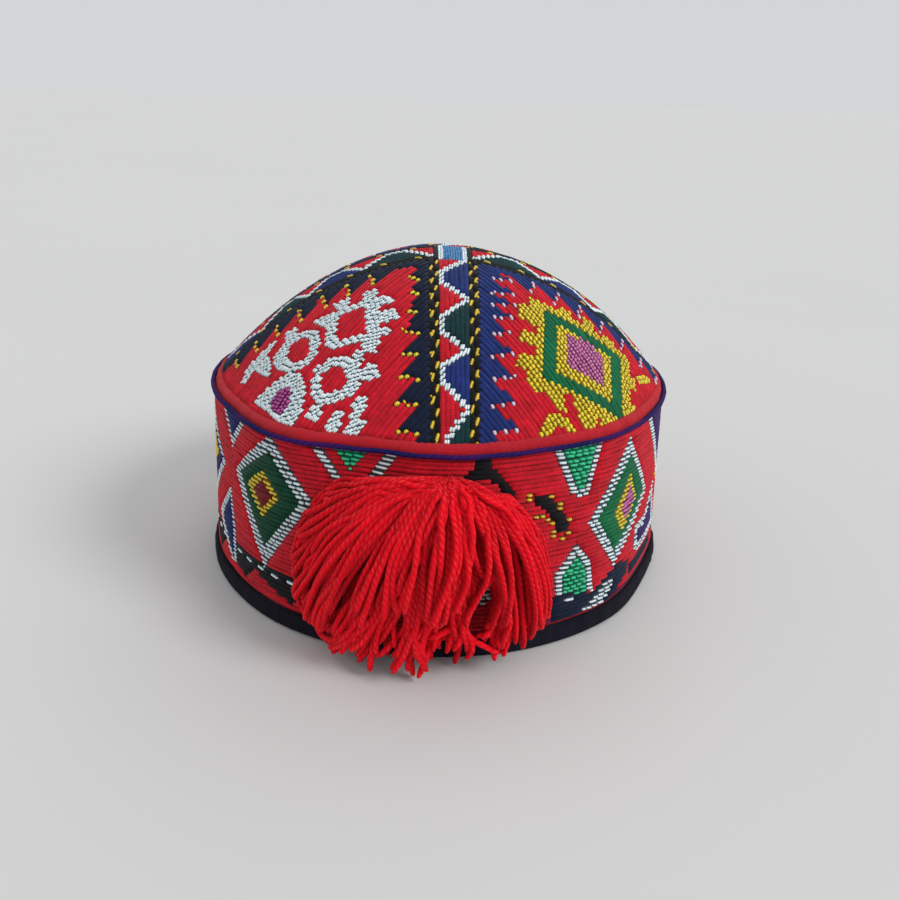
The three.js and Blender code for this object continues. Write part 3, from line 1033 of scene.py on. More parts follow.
def thread_sweep_tree():
    """Node tree that sweeps a round or flattened thread along each path of its mesh."""
    name = "Thread sweep"
    if name in bpy.data.node_groups:
        return bpy.data.node_groups[name]
    group = bpy.data.node_groups.new(name, "GeometryNodeTree")
    for label, kind, value in (
        ("Geometry", "NodeSocketGeometry", None),
        ("Half Width", "NodeSocketFloat", 0.001),
        ("Half Height", "NodeSocketFloat", 0.001),
        ("Sides", "NodeSocketInt", 8),
        ("Material", "NodeSocketMaterial", None),
    ):
        socket = group.interface.new_socket(label, in_out="INPUT", socket_type=kind)
        if value is not None:
            socket.default_value = value
    group.interface.new_socket("Geometry", in_out="OUTPUT", socket_type="NodeSocketGeometry")
    tree = NodeTree(group)

    def add(kind, settings=None, sockets=None, output=0):
        return tree.add(kind, settings, sockets).outputs[output]

    given = tree.add("NodeGroupInput").outputs
    ups = add("GeometryNodeInputNamedAttribute", {"data_type": "FLOAT_VECTOR"}, {"Name": "thread_up"})
    thickness = add("GeometryNodeInputNamedAttribute", {"data_type": "FLOAT"}, {"Name": "thickness"})
    curve = add("GeometryNodeMeshToCurve", {}, {"Mesh": given["Geometry"]})
    curve = add("GeometryNodeSetCurveNormal", {"mode": "FREE"}, {"Curve": curve, "Normal": ups})
    circle = add("GeometryNodeCurvePrimitiveCircle", {},
                 {"Resolution": given["Sides"], "Radius": 1.0})
    place = add("GeometryNodeInputPosition")
    profile = add("GeometryNodeStoreNamedAttribute", {"data_type": "FLOAT_VECTOR", "domain": "POINT"},
                  {"Geometry": circle, "Name": "profile", "Value": place})
    sizes = add("ShaderNodeCombineXYZ", {}, {0: given["Half Height"], 1: given["Half Width"]})
    shape = add("ShaderNodeVectorMath", {"operation": "MULTIPLY"}, {0: place, 1: sizes})
    profile = add("GeometryNodeSetPosition", {}, {"Geometry": profile, "Position": shape})
    swept = add("GeometryNodeCurveToMesh", {},
                {"Curve": curve, "Profile Curve": profile, "Scale": thickness, "Fill Caps": True})
    smooth = add("GeometryNodeSetShadeSmooth", {}, {"Geometry": swept, "Shade Smooth": True})
    whole = add("GeometryNodeRealizeInstances", {}, {"Geometry": smooth})
    done = add("GeometryNodeSetMaterial", {}, {"Geometry": whole, "Material": given["Material"]})
    tree.add("NodeGroupOutput", {}, {"Geometry": done})
    return group


def swept_threads(name, paths, material, half_width, half_height, sides=8):
    """A piece of thread swept along paths by the node tree, as a plain mesh."""
    source = bpy.data.objects.new(name + "_paths", paths.mesh(name + "_paths"))
    bpy.context.scene.collection.objects.link(source)
    tree = thread_sweep_tree()
    modifier = source.modifiers.new("Thread sweep", "NODES")
    modifier.node_group = tree
    values = {
        "Half Width": half_width * MM,
        "Half Height": half_height * MM,
        "Sides": sides,
        "Material": material,
    }
    for item in tree.interface.items_tree:
        if item.in_out == "INPUT" and item.name in values:
            modifier[item.identifier] = values[item.name]
    graph = bpy.context.evaluated_depsgraph_get()
    mesh = bpy.data.meshes.new_from_object(source.evaluated_get(graph))
    source.modifiers.remove(modifier)
    bpy.data.objects.remove(source)
    mesh.name = name
    for spare in ("thread_up", "thickness"):
        mesh.attributes.remove(mesh.attributes[spare])
    return placed(name, mesh)


def placed(name, mesh):
    """Puts a mesh in the scene as an object at the origin."""
    piece = bpy.data.objects.new(name, mesh)
    bpy.context.scene.collection.objects.link(piece)
    return piece


def turned_piece(name, rows, material, sides=192):
    """A closed body turned about the axis, from pole to pole or as a closed loop of rows.
    Each row is a function that gives its places in mm at all angles."""
    angles = np.arange(sides) / sides * 2 * np.pi
    places = []
    rings = []
    for row in rows:
        points = row(angles)
        is_pole = np.ptp(points[:, 0]) < 1e-6
        rings.append((len(places), is_pole))
        places.extend(points[:1] if is_pole else points)
    joins = list(zip(rings, rings[1:]))
    if not rings[0][1]:
        joins.append((rings[-1], rings[0]))
    faces = []
    for (first, starts_at_pole), (second, ends_at_pole) in joins:
        for side in range(sides):
            after = (side + 1) % sides
            if starts_at_pole:
                faces.append((second + after, second + side, first))
            elif ends_at_pole:
                faces.append((first + after, second, first + side))
            else:
                faces.append((first + after, second + after, second + side, first + side))
    mesh = bpy.data.meshes.new(name)
    mesh.from_pydata([tuple(point) for point in np.array(places) * MM], [], faces)
    mesh.materials.append(material)
    mesh.shade_smooth()
    mesh.update()
    return placed(name, mesh)


def crown_row(arc, raised, ripple=None):
    """A ring of the crown's outside at one arc from the top, raised off it."""
    def row(angles):
        lift = raised + (ripple(angles) if ripple else 0)
        lift = np.broadcast_to(lift, angles.shape)
        return on_cloth(crown_point, arc * np.sin(angles), arc * np.cos(angles), lift)[0]
    return row


def wall_row(radius_of, height, ripple=None):
    """A ring at one height, whose radius is given by a function of the height."""
    def row(angles):
        radius = radius_of(height) + (ripple(angles) if ripple else 0)
        radius = np.broadcast_to(radius, angles.shape)
        return pressed(radius, np.full(angles.shape, float(height)), angles)
    return row


def ripples(seed, size, waves):
    """A smooth closed ripple round the cap, of a size in mm."""
    random = np.random.default_rng(seed)
    numbers = random.integers(waves[0], waves[1], 7)
    phases = random.uniform(0, 2 * np.pi, 7)
    shares = random.uniform(0.4, 1.0, 7)

    def ripple(angles):
        total = sum(
            share * np.sin(number * angles + phase)
            for share, number, phase in zip(shares, numbers, phases)
        )
        return size * total / 2.6
    return ripple


def smooth_noise(random, places, reach):
    """Smooth noise of about 1 along a path, with no step shorter than its reach."""
    knots = np.arange(places[0] - reach, places[-1] + 2 * reach, reach)
    return np.interp(places, knots, random.normal(0, 1, len(knots)))


class RibLayer:
    """Lays ribs of cotton and short metallic stitches on one of the two maps."""

    def __init__(self, surface, style, seed):
        self.surface = surface
        self.style = style
        self.random = np.random.default_rng(seed)
        self.cotton = Paths()
        self.metal = Paths()

    def colour(self, name, under=False):
        """The colour of a thread, or of the darker one under it that also serves as painted shade
        between stitches, a little different each time.
        """
        colour = np.array(screen(*(UNDERLAYS_AND_GAP_SHADE[name] if under else THREADS[name][0])))
        colour = colour * self.random.uniform(0.9, 1.1)
        return np.array([*colour, 1.0])

    def lay_rib(self, u, v, threads, number):
        """Lays one rib along a line on the map, given as dense samples with their thread
        numbers: lengths of cotton thread, and stitches where the thread is metallic."""
        style, random = self.style, self.random
        changes = np.flatnonzero(np.diff(threads)) + 1
        bounds = [0, *changes, len(threads)]
        distance = np.arange(len(u)) * SAMPLE
        wander = smooth_noise(random, distance, 7.0) * style["wander"]
        swell = 1 + smooth_noise(random, distance, 4.0) * 0.05
        du, dv = u[-1] - u[0], v[-1] - v[0]
        length = math.hypot(du, dv)
        side = (-dv / length, du / length)
        line = (distance, u + wander * side[0], v + wander * side[1])
        for start, end in zip(bounds, bounds[1:]):
            name = THREAD_NAMES[threads[start]]
            first, last = distance[start] - 0.12, distance[end - 1] + 0.12
            if last - first < SHORTEST_RUN:
                continue
            under = THREADS[name][1]
            if under:
                self.lay_stitches(line, first, last, name, number)
                if last - first < UNDERLAY_LEAST:
                    continue
            steps = max(2, int(np.ceil((last - first) / (style["step"] * (1 + under)))) + 1)
            inner = np.linspace(first + 0.3, last - 0.3, steps)
            along = np.concatenate([[first - 0.1], inner, [last + 0.1]])
            pu, pv = (np.interp(along, distance, axis) for axis in line[1:])
            lift = np.full(len(along), style["sink"] - UNDERLAY_SINK * under)
            lift += random.normal(0, 0.03, len(along))
            lift[[0, -1]] -= 0.3
            thick = np.interp(along, distance, swell)
            thick[[0, -1]] *= 0.62
            places, ups = on_cloth(self.surface, pu, pv, lift)
            self.cotton.add(places, ups, thick, self.colour(name, under), along)

    def lay_stitches(self, line, first, last, name, number):
        """Lays the metallic stitches of one length of a rib, in one row or more."""
        style, random = self.style, self.random
        distance = line[0]
        size, rows, width = style["stitch"][name]
        count = max(1, int(round((last - first) / size)))
        for row in range(rows):
            edges = np.linspace(first, last, count + 1)
            if count > 2:
                edges[1:-1] += (0.25 if (number + row) % 2 else -0.25) * size
            beside = (row - (rows - 1) / 2) * style["row_gap"]
            for start, end in zip(edges, edges[1:]):
                start, end = start + 0.05, end - 0.05
                along = start + (end - start) * np.array([0, 0.2, 0.8, 1])
                tilt = (along - along.mean()) * style["slant"] + beside + random.normal(0, 0.07)
                pu, pv = (np.interp(along, distance, axis) for axis in line[1:])
                du, dv = pu[-1] - pu[0], pv[-1] - pv[0]
                length = max(math.hypot(du, dv), 1e-6)
                pu, pv = pu - tilt * dv / length, pv + tilt * du / length
                lift = style["sink"] + np.array([-0.12, 0.3, 0.3, -0.12]) + random.normal(0, 0.05)
                thick = np.array([0.45, 1.0, 1.0, 0.45]) * random.uniform(0.86, 1.06) * width
                places, ups = on_cloth(self.surface, pu, pv, lift)
                self.metal.add(places, ups, thick, self.colour(name), along)

    def swept(self, ribs_name, stitches_name, pitch):
        """The two pieces of thread, swept along what was laid. pitch is in mm."""
        height = bpy.context.scene.skullcap_cloth.rib_height / MM
        ribs = swept_threads(ribs_name, self.cotton, thread_finish("cotton"),
                             pitch * self.style["rib_half"], height)
        stitches = swept_threads(stitches_name, self.metal, thread_finish("metal"),
                                 pitch * self.style["stitch_half"], height * 1.1, 5)
        return ribs, stitches


def crown_rib_lines(pitch):
    """The lines that the crown's ribs follow, and which of their samples lie in their own
    part of it: along the arms, and in each sector along the line between its arms."""
    cos, sin = math.cos(PATTERN_TURN), math.sin(PATTERN_TURN)

    def on_map(p, q):
        return p * cos + q * sin + PATTERN_MIDDLE[0], q * cos - p * sin + PATTERN_MIDDLE[1]

    whole = np.arange(-ARM_REACH, ARM_REACH, SAMPLE)
    outwards = np.arange(0, ARM_REACH + 1, SAMPLE)
    lines = []
    for rib in range(-5, 5):
        across = (rib + 0.5) * ARM_RIB
        for way in (1, -1):
            if way == 1:
                u, v = on_map(np.full(len(whole), across), whole)
                lines.append((u, v, np.ones(len(whole), bool)))
            u, v = on_map(way * (outwards + ARM_HALF), np.full(len(outwards), across))
            lines.append((u, v, np.ones(len(outwards), bool)))
    reach = int(130 / pitch)
    span = np.arange(0, 150, SAMPLE) / math.sqrt(2)
    for way_p, way_q in ((-1, 1), (1, 1), (1, -1), (-1, -1)):
        for rib in range(-reach, reach + 1):
            offset = (rib + 0.5) * pitch / math.sqrt(2)
            p, q = span + offset, span - offset
            fits = (p > ARM_HALF - 0.9) & (q > ARM_HALF - 0.9)
            u, v = on_map(way_p * p, way_q * q)
            lines.append((u, v, fits))
    return lines


def lay_crown(pitch):
    """All ribs and stitches of the crown."""
    layer = RibLayer(crown_point, CROWN_RIBS, 11)
    for number, (u, v, fits) in enumerate(crown_rib_lines(pitch)):
        fits = fits & (np.hypot(u, v) < EMBROIDERY_EDGE)
        for run in np.split(np.arange(len(u)), np.flatnonzero(np.diff(fits)) + 1):
            if len(run) > 6 and fits[run[0]]:
                layer.lay_rib(u[run], v[run], crown_threads(u[run], v[run]), number)
    return layer


def lay_band(pitch):
    """All ribs and stitches of the band."""
    layer = RibLayer(band_point, BAND_RIBS, 23)
    rows = int(round((BAND_RIBS_TO - BAND_RIBS_FROM) / pitch))
    around = np.arange(-BAND_TURN / 2, BAND_TURN / 2 + SAMPLE, SAMPLE)
    for number, height in enumerate(np.linspace(BAND_RIBS_FROM, BAND_RIBS_TO, rows + 1)):
        v = np.full(len(around), height)
        layer.lay_rib(around, v, band_threads(around, v), number)
    return layer


def bezier(points, shares):
    """Places along a curve with four control points."""
    a, b, c, d = (np.asarray(point, float) for point in points)
    t = shares[:, None]
    return a * (1 - t) ** 3 + 3 * b * t * (1 - t) ** 2 + 3 * c * t**2 * (1 - t) + d * t**3


def course_at(courses, share):
    """Where the yarn at this share of a table of courses heads, bends and ends."""
    table = np.array(courses, float)
    place = share * (len(table) - 1)
    index = min(int(place), len(table) - 2)
    part = place - index
    return table[index] * (1 - part) + table[index + 1] * part


def beside_band(around, height, off):
    """Places, in mm, that stand off the band's outside, or off the binding's low down."""
    height = np.asarray(height, float)
    foot = np.clip((BINDING_HEIGHT + 3 - height) / 3, 0, 1) * 1.6
    radius = band_radius(np.maximum(height, 0)) + foot + off
    angle = around / BAND_MAP_RADIUS
    lift = np.clip(height, 0.2, SEAM_HEIGHT)
    base = pressed(band_radius(lift), lift, angle)
    rim = np.hypot(base[:, 0], base[:, 1]) - band_radius(lift)
    radius = radius + rim
    return np.stack([radius * np.sin(angle), -radius * np.cos(angle), height], -1)


def tassel_start(settings):
    """First course of each strand of the tassel, before they settle against each other."""
    random = np.random.default_rng(settings.seed)
    shares = np.linspace(0, 1, 60)
    strands = []
    for layer, (courses, part, deep, curl, untidy) in enumerate(YARN_BUNDLES):
        number = int(round(settings.strands * part))
        locks = random.normal(0, 1, (YARN_LOCKS, 3, 3)) * LOCK_STRAY
        for place in range(number):
            share = ((place + random.uniform(0, 1)) / number) ** (1.2 if courses is YARN_UNDER else 1)
            lock = min(int(share * YARN_LOCKS), YARN_LOCKS - 1)
            middle = (lock + 0.5) / YARN_LOCKS
            share = middle + (share - middle) * LOCK_WIDTH
            row = course_at(courses, share)
            row[:, 2] *= np.clip(deep + random.normal(0, 0.05), 0.1, 1.05)
            loose = random.normal(0, 0.8, (3, 3)) * untidy * (1, 1, 0.5) + locks[lock]
            row += loose * np.array([[0.3], [0.7], [1.0]])
            if courses is YARN_OVER and random.uniform() < CROSSING_SHARE:
                crossed = np.clip(share + random.normal(0, 0.16), 0, 1)
                row[0] = course_at(courses, crossed)[0] * (1, 1, 1.06)
            if courses is YARN_UNDER:
                row[2, 1] += random.uniform(*TIP_STRAY)
            row[2, 1] = max(row[2, 1], TIP_LEAST)
            around = GATHER[0] + (share - 0.5) * GATHER_WIDTH + random.normal(0, 0.7)
            height = GATHER[1] + 1.6 * deep + random.normal(0, 0.7)
            course = bezier(((around, height, 1.0 + 2.0 * deep), *row), shares)
            size = random.normal(0, 0.75, (2, 1)) * shares
            wave = np.sin(shares * random.uniform(7, 15) + random.uniform(0, 6.28))
            course[:, :2] += (size * wave).T
            bend = random.normal(0, 1, 3) * (1.0, 0.7, 0.6) + (-0.5, 0.1, 0.25)
            course += np.clip(shares - 0.78, 0, 1)[:, None] ** 2 / 0.048 * bend * curl
            strands.append((course, layer))
    return strands, random


def evenly(places, number):
    """A path resampled at even steps."""
    lengths = np.concatenate([[0], np.cumsum(np.linalg.norm(np.diff(places, axis=0), axis=1))])
    wanted = np.linspace(0, lengths[-1], number)
    return np.stack([np.interp(wanted, lengths, places[:, axis]) for axis in range(3)], -1)


def pushes(strands, thickness, rooms):
    """How far each point is pushed by the points of other strands that lie too near."""
    flat = strands.reshape(-1, 3)
    owner = np.repeat(np.arange(len(strands)), strands.shape[1])
    tree = kdtree.KDTree(len(flat))
    for index, place in enumerate(flat):
        tree.insert(place, index)
    tree.balance()
    push = np.zeros_like(flat)
    for index, place in enumerate(flat):
        for other, near, gap in tree.find_range(place, thickness):
            if owner[near] == owner[index] or gap < 1e-6:
                continue
            wanted = min(rooms[index], rooms[near])
            if gap < wanted:
                away = (place - np.array(other)) / gap
                push[index] += away * (wanted - gap) * PUSH_SHARE
    size = np.linalg.norm(push, axis=1, keepdims=True)
    push *= np.minimum(1, LONGEST_PUSH / np.maximum(size, 1e-9))
    return push.reshape(strands.shape)


def settle(strands, thickness, rounds):
    """Moves the strands apart until each has its own room beside the others, keeps their
    length and their smoothness, and keeps them clear of the band and the floor."""
    number = strands.shape[1]
    share = np.linspace(0, 1, number)
    rooms = np.tile(thickness * np.clip(0.36 + share * 2.2, 0, 1), len(strands))
    rest = np.linalg.norm(np.diff(strands, axis=1), axis=2)
    free = np.clip(share * 14, 0, 1)[None, :, None]
    slack = np.random.default_rng(41).uniform(-5, 1.5, (len(strands), 1))
    for _ in range(rounds):
        strands = strands + pushes(strands, thickness, rooms) * free
        inner = strands[:, 1:-1]
        middle = (strands[:, 2:] + strands[:, :-2]) / 2
        strands[:, 1:-1] = inner + (middle - inner) * SMOOTHING * free[:, 1:-1]
        for _ in range(2):
            step = np.diff(strands, axis=1)
            size = np.linalg.norm(step, axis=2)
            excess = ((size - rest) / np.maximum(size, 1e-9))[..., None] * step * 0.5
            strands[:, 1:] -= excess * free[:, 1:]
            strands[:, :-1] += excess * free[:, :-1]
        strands = kept_clear(strands, thickness, slack)
    return strands


def kept_clear(strands, thickness, slack):
    """Keeps the strands off the band, above the floor, out of the hollow and in the room
    that the tassel has."""
    angle = np.arctan2(strands[..., 0], -strands[..., 1])
    radius = np.hypot(strands[..., 0], strands[..., 1])
    height = strands[..., 2]
    around = angle * BAND_MAP_RADIUS
    wall = beside_band(around.ravel(), height.ravel(), thickness / 2 + 0.1)
    least = np.hypot(wall[:, 0], wall[:, 1]).reshape(radius.shape)
    around = around + out_of_hollow(around, height - SIGHT_SLOPE * (radius - least)) * 0.5
    heights, left, right, depth = np.array(YARN_ROOM, float).T
    aside = around - YARN_MIDDLE
    reach = np.where(aside < 0, np.interp(height, heights, left), np.interp(height, heights, right))
    around = around - np.sign(aside) * np.maximum(np.abs(aside) - reach, 0) * 0.4
    ceiling = np.interp(around, *np.array(YARN_CEILING, float).T) + 0.3 * (radius - least)
    height = height - np.maximum(height - ceiling, 0) * 0.5
    spread = np.minimum(np.abs(aside) / reach, 0.98)
    room = np.interp(height, heights, depth) * (1 - spread**2) ** 0.4 + slack
    radius = radius - np.maximum(radius - least - room, 0) * 0.4
    start = np.clip(np.linspace(0, 12, strands.shape[1]), 0, 1)[None, :]
    radius = np.maximum(radius, least - (1 - start) * 1.0)
    height = np.maximum(height, thickness / 2 + 0.15)
    angle = around / BAND_MAP_RADIUS
    return np.stack([radius * np.sin(angle), -radius * np.cos(angle), height], -1)


def out_of_hollow(around, seen):
    """How far each point goes aside, all of a strand to one side, to leave the hollow."""
    middle = np.interp(seen, *HOLLOW_MIDDLE)
    half = np.interp(seen, *HOLLOW_HALF)
    beside = np.sum((around - middle) * (half > 0), axis=1, keepdims=True)
    way = np.where(beside > 0, 1.0, -1.0)
    push = np.maximum(half - way * (around - middle), 0) * way * (half > 0)
    weights = np.hanning(13)
    weights = weights / weights.sum()
    return np.array([np.convolve(row, weights, "same") for row in push])


def smoothed(places, number):
    """A path drawn finer through its points with a smooth curve."""
    count = len(places)
    padded = np.concatenate([[2 * places[0] - places[1]], places, [2 * places[-1] - places[-2]]])
    where = np.linspace(0, count - 1, number)
    index = np.minimum(where.astype(int), count - 2)
    t = (where - index)[:, None]
    a, b, c, d = (padded[index + k] for k in range(4))
    return 0.5 * (2 * b + (c - a) * t + (2 * a - 5 * b + 4 * c - d) * t**2
                  + (3 * b - a - 3 * c + d) * t**3)


def carried_ups(places):
    """Directions across a path that turn slowly to the tassel's outside, and the length
    passed along it."""
    tangents = unit(np.gradient(places, axis=0))
    outward = unit((places - YARN_CORE) * (1, 1, 0.7))
    up = outward[0]
    ups = np.empty_like(places)
    for index, tangent in enumerate(tangents):
        up = up + outward[index] * 0.15
        up = up - tangent * (up @ tangent)
        up = up / np.linalg.norm(up)
        ups[index] = up
    steps = np.linalg.norm(np.diff(places, axis=0), axis=1)
    return ups, np.concatenate([[0], np.cumsum(steps)])


def length_setting(name, description, default, least, most):
    """A setting that is a length, in metres."""
    return bpy.props.FloatProperty(
        name=name, description=description, default=default, min=least, max=most, unit="LENGTH",
    )


def colour_setting(name, description, red, green, blue):
    """A setting that is a colour, from its screen values."""
    return bpy.props.FloatVectorProperty(
        name=name, description=description, default=screen(red, green, blue), size=3,
        min=0, max=1, subtype="COLOR",
    )


class ClothSettings(bpy.types.PropertyGroup):
    """Sizes of the ribbed cloth, and its plain colours."""

    rib_pitch: length_setting("Rib pitch", "Distance from one rib to the next", 0.002, 0.001, 0.005)
    band_pitch: length_setting(
        "Band rib pitch", "Distance from one rib of the band to the next", 0.0017, 0.001, 0.005,
    )
    rib_height: length_setting(
        "Rib height", "Half the height of a rib's thread", 0.00062, 0.0002, 0.002,
    )
    rim_colour: colour_setting("Rim", "Colour of the plain roll above the seam", 214, 24, 42)
    binding_colour: colour_setting(
        "Binding", "Colour of the binding round the bottom edge", 29, 27, 46,
    )


class TasselSettings(bpy.types.PropertyGroup):
    """Sizes and colour of the tassel."""

    strands: bpy.props.IntProperty(
        name="Strands", description="Number of strands of yarn", default=268, min=20, max=400,
    )
    thickness: length_setting("Yarn thickness", "Diameter of a strand of yarn", 0.0021, 0.001, 0.006)
    colour: colour_setting("Yarn", "Colour of the yarn", 230, 9, 30)
    seed: bpy.props.IntProperty(
        name="Seed", description="Changes how the strands lie", default=5, min=0,
    )


class StageSettings(bpy.types.PropertyGroup):
    """Light and floor."""

    light: bpy.props.FloatProperty(
        name="Light", description="Strength of the lamps", default=1.0, min=0.1, max=5,
    )
    floor_size: length_setting("Floor", "Width of the floor", 12.0, 1, 50)


class SKULLCAP_OT_crown(bpy.types.Operator):
    """Makes the crown: padded shell, ribs, embroidery and the plain roll above the seam"""

    bl_idname = "skullcap.crown"
    bl_label = "Crown"

    def execute(self, context):
        cloth = context.scene.skullcap_cloth
        shade = ripples(3, 0.1, (4, 20))
        outer = [crown_row(0, -SHELL_DEPTH)]
        outer += [crown_row(arc, -SHELL_DEPTH) for arc in np.linspace(4, CROWN_ARC - 1.2, 34)]
        inner = [crown_row(arc, -WALL, shade) for arc in np.linspace(CROWN_ARC - 1.2, 4, 30)]
        inner.append(crown_row(0, -WALL))
        shell = turned_piece("crown_shell", (outer + inner)[::-1], ground_finish("Crown cloth"))
        rim_finish = weave_finish("Rim cloth", tuple(cloth.rim_colour), screen(160, 10, 28), 1300,
                                  0.0006, 0.08, 0.85)
        soft = ripples(7, 0.2, (9, 60))
        fine = ripples(8, 0.13, (110, 240))

        def pucker(angles):
            return soft(angles) + fine(angles)

        top = (*RIM_TOP, (CROWN_ARC - 0.1, -0.7))
        under = ((CROWN_ARC - 0.4, -1.3), *RIM_UNDER)
        rows = [crown_row(arc, lift, pucker) for arc, lift in top]
        rows += [crown_row(arc, lift) for arc, lift in under]
        rim = turned_piece("crown_rim", rows[::-1], rim_finish, 640)
        pitch = cloth.rib_pitch / MM
        ribs, stitches = lay_crown(pitch).swept("crown_ribs", "crown_metal_stitches", pitch)
        for piece in (shell, rim, ribs, stitches):
            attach(piece, "root")
        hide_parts("crown")
        return {"FINISHED"}


class SKULLCAP_OT_band(bpy.types.Operator):
    """Makes the band: padded shell, ribs and embroidery"""

    bl_idname = "skullcap.band"
    bl_label = "Band"

    def execute(self, context):
        cloth = context.scene.skullcap_cloth

        def outside(height):
            return band_radius(height) - SHELL_DEPTH

        def lining(height):
            return band_radius(height) - WALL

        shade = ripples(9, 0.12, (4, 24))
        rows = [wall_row(outside, height) for height in np.linspace(1.6, 75.4, 22)]
        rows += [wall_row(lining, height, shade) for height in np.linspace(75.7, 1.6, 16)]
        shell = turned_piece("band_shell", rows, ground_finish("Band cloth"))
        pitch = cloth.band_pitch / MM
        ribs, stitches = lay_band(pitch).swept("band_ribs", "band_metal_stitches", pitch)
        for piece in (shell, ribs, stitches):
            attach(piece, "root")
        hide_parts("band")
        return {"FINISHED"}


class SKULLCAP_OT_seam_cord(bpy.types.Operator):
    """Makes the twisted cord in the seam between crown and band"""

    bl_idname = "skullcap.seam_cord"
    bl_label = "Seam cord"

    def execute(self, context):
        points = 600
        angles = np.linspace(0, 2 * np.pi, points)
        radius = np.full(points, CORD_CENTRE_RADIUS)
        places = pressed(radius, np.full(points, CORD_CENTRE_HEIGHT), angles)
        places[:, 2] += ripples(17, 0.16, (5, 40))(angles)
        outward = unit(places * (1, 1, 0))
        paths = Paths()
        along = angles * CORD_CENTRE_RADIUS
        thick = 1 + ripples(19, 0.05, (11, 80))(angles)
        paths.add(places, outward, thick, np.array([0.03, 0.015, 0.1, 1]), along)
        cord = swept_threads("seam_cord_twist", paths, cord_finish(), CORD_HALF, CORD_HALF, 12)
        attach(cord, "root")
        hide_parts("seam_cord")
        return {"FINISHED"}


class SKULLCAP_OT_hem_binding(bpy.types.Operator):
    """Makes the dark soft binding folded round the bottom edge"""

    bl_idname = "skullcap.hem_binding"
    bl_label = "Hem binding"

    def execute(self, context):
        cloth = context.scene.skullcap_cloth
        finish = weave_finish("Binding cloth", tuple(cloth.binding_colour), screen(4, 4, 9), 700,
                              0.0012, 0.0, 1.0)
        soft = ripples(29, 0.32, (6, 110))
        rows = [
            wall_row(lambda height, off=off: band_radius(height) + off, height,
                     soft if moves else None)
            for off, height, moves in BINDING_SECTION
        ]
        binding = turned_piece("hem_binding_cloth", rows, finish, 288)
        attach(binding, "root")
        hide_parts("hem_binding")
        return {"FINISHED"}


class SKULLCAP_OT_tassel(bpy.types.Operator):
    """Makes the tassel of red plied yarn, its strands settled against each other"""

    bl_idname = "skullcap.tassel"
    bl_label = "Tassel"

    def execute(self, context):
        settings = context.scene.skullcap_tassel
        thickness = settings.thickness / MM
        courses, random = tassel_start(settings)
        starts = np.array([
            evenly(beside_band(course[:, 0], course[:, 1], course[:, 2]), YARN_POINTS)
            for course, _ in courses
        ])
        strands = settle(starts, thickness * 0.8, 16)
        finish = yarn_finish()
        base = np.array([*settings.colour, 1.0])
        parts = np.array_split(np.arange(len(courses)), 3)
        for name, chosen in zip(("inner", "middle", "outer"), parts):
            paths = Paths()
            for index in chosen:
                length = np.linalg.norm(np.diff(strands[index], axis=0), axis=1).sum()
                places = smoothed(strands[index], max(int(length / 0.85), 20))
                ups, along = carried_ups(places)
                share = along / along[-1]
                thick = np.clip(0.5 + share * 2.6, 0, 1) * random.uniform(0.9, 1.08)
                thick = thick * (1 + 0.04 * np.sin(along * 1.7 + random.uniform(0, 6)))
                thick[-3:] *= (0.95, 0.82, 0.45)
                # Random tone of each strand, times the painted shade of its bundle
                tint = base * random.uniform(0.8, 1.08) * YARN_DEPTH_SHADE[courses[index][1]]
                tint[3] = 1
                paths.add(places, ups, thick, tint, along + random.uniform(0, 9))
            piece = swept_threads("tassel_strands_" + name, paths, finish, thickness / 2,
                                  thickness / 2, 8)
            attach(piece, "root")
            if name == "outer":
                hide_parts("tassel")
        return {"FINISHED"}


class SKULLCAP_OT_stage(bpy.types.Operator):
    """Makes the pale floor, the soft lights and the camera"""

    bl_idname = "skullcap.stage"
    bl_label = "Stage"

    def execute(self, context):
        settings = context.scene.skullcap_stage
        scene = context.scene
        half = settings.floor_size / 2
        floor_mesh = bpy.data.meshes.new("floor")
        corners = [(-half, -half, 0), (half, -half, 0), (half, half, 0), (-half, half, 0)]
        floor_mesh.from_pydata(corners, [], [(0, 1, 2, 3)])
        floor_mesh.materials.append(floor_finish())
        floor = placed("floor", floor_mesh)
        for name, place, width, strength in LAMPS:
            lamp = bpy.data.lights.new(name, "SUN")
            lamp.angle = math.radians(width)
            lamp.energy = strength * settings.light
            light = bpy.data.objects.new(name, lamp)
            light.location = place
            aim = Vector(LAMPS_AIM) - Vector(place)
            light.rotation_euler = aim.to_track_quat("-Z", "Y").to_euler()
            scene.collection.objects.link(light)
        world = bpy.data.worlds.new("studio")
        world.use_nodes = True
        background = world.node_tree.nodes["Background"]
        background.inputs["Color"].default_value = SKY_COLOUR
        background.inputs["Strength"].default_value = SKY_STRENGTH
        scene.world = world
        scene.view_settings.view_transform = "Standard"
        make_camera(scene)
        return {"FINISHED"}


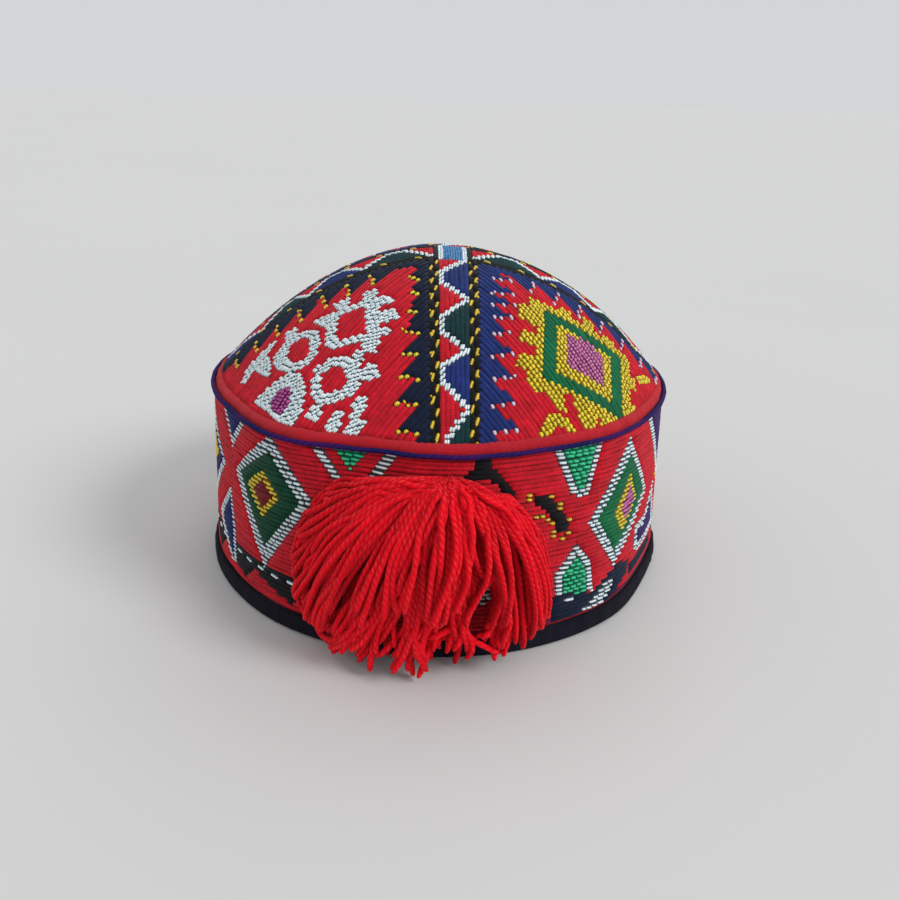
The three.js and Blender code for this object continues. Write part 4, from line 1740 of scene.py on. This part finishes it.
def make_camera(scene):
    """The camera at the angle that the cap is seen from."""
    lens = bpy.data.cameras.new("camera")
    lens.lens = CAMERA_LENS
    lens.sensor_width = CAMERA_SENSOR
    lens.clip_start = 0.01
    camera = bpy.data.objects.new("camera", lens)
    turned = Matrix.Rotation(math.radians(-CAMERA_TURN), 4, "Z")
    tilted = Matrix.Rotation(math.radians(90 - CAMERA_DIP), 4, "X")
    rolled = Matrix.Rotation(math.radians(CAMERA_ROLL), 4, "Z")
    camera.matrix_world = Matrix.Translation(CAMERA_PLACE) @ turned @ tilted @ rolled
    scene.collection.objects.link(camera)
    scene.camera = camera


class SKULLCAP_PT_panel(bpy.types.Panel):
    """Lists the cap's sizes and the operators that make its pieces"""

    bl_idname = "SKULLCAP_PT_panel"
    bl_label = "Skullcap"
    bl_space_type = "VIEW_3D"
    bl_region_type = "UI"
    bl_category = "Skullcap"

    def draw(self, context):
        scene = context.scene
        for group in (scene.skullcap_cloth, scene.skullcap_tassel, scene.skullcap_stage):
            column = self.layout.column(align=True)
            for name in group.__annotations__:
                column.prop(group, name)
        for operator in OPERATORS:
            self.layout.operator(operator.bl_idname)


OPERATORS = (
    SKULLCAP_OT_stage,
    SKULLCAP_OT_crown,
    SKULLCAP_OT_band,
    SKULLCAP_OT_seam_cord,
    SKULLCAP_OT_hem_binding,
    SKULLCAP_OT_tassel,
)
GROUPS = {
    "skullcap_cloth": ClothSettings,
    "skullcap_tassel": TasselSettings,
    "skullcap_stage": StageSettings,
}


def register():
    for name, group in GROUPS.items():
        bpy.utils.register_class(group)
        setattr(bpy.types.Scene, name, bpy.props.PointerProperty(type=group))
    for item in (*OPERATORS, SKULLCAP_PT_panel):
        bpy.utils.register_class(item)


def unregister():
    for item in (SKULLCAP_PT_panel, *reversed(OPERATORS)):
        bpy.utils.unregister_class(item)
    for name, group in GROUPS.items():
        delattr(bpy.types.Scene, name)
        bpy.utils.unregister_class(group)


def main():
    """Makes every piece."""
    register()
    bpy.ops.skullcap.stage()
    bpy.ops.skullcap.crown()
    bpy.ops.skullcap.band()
    bpy.ops.skullcap.seam_cord()
    bpy.ops.skullcap.hem_binding()
    bpy.ops.skullcap.tassel()


if __name__ == "__main__":
    main()
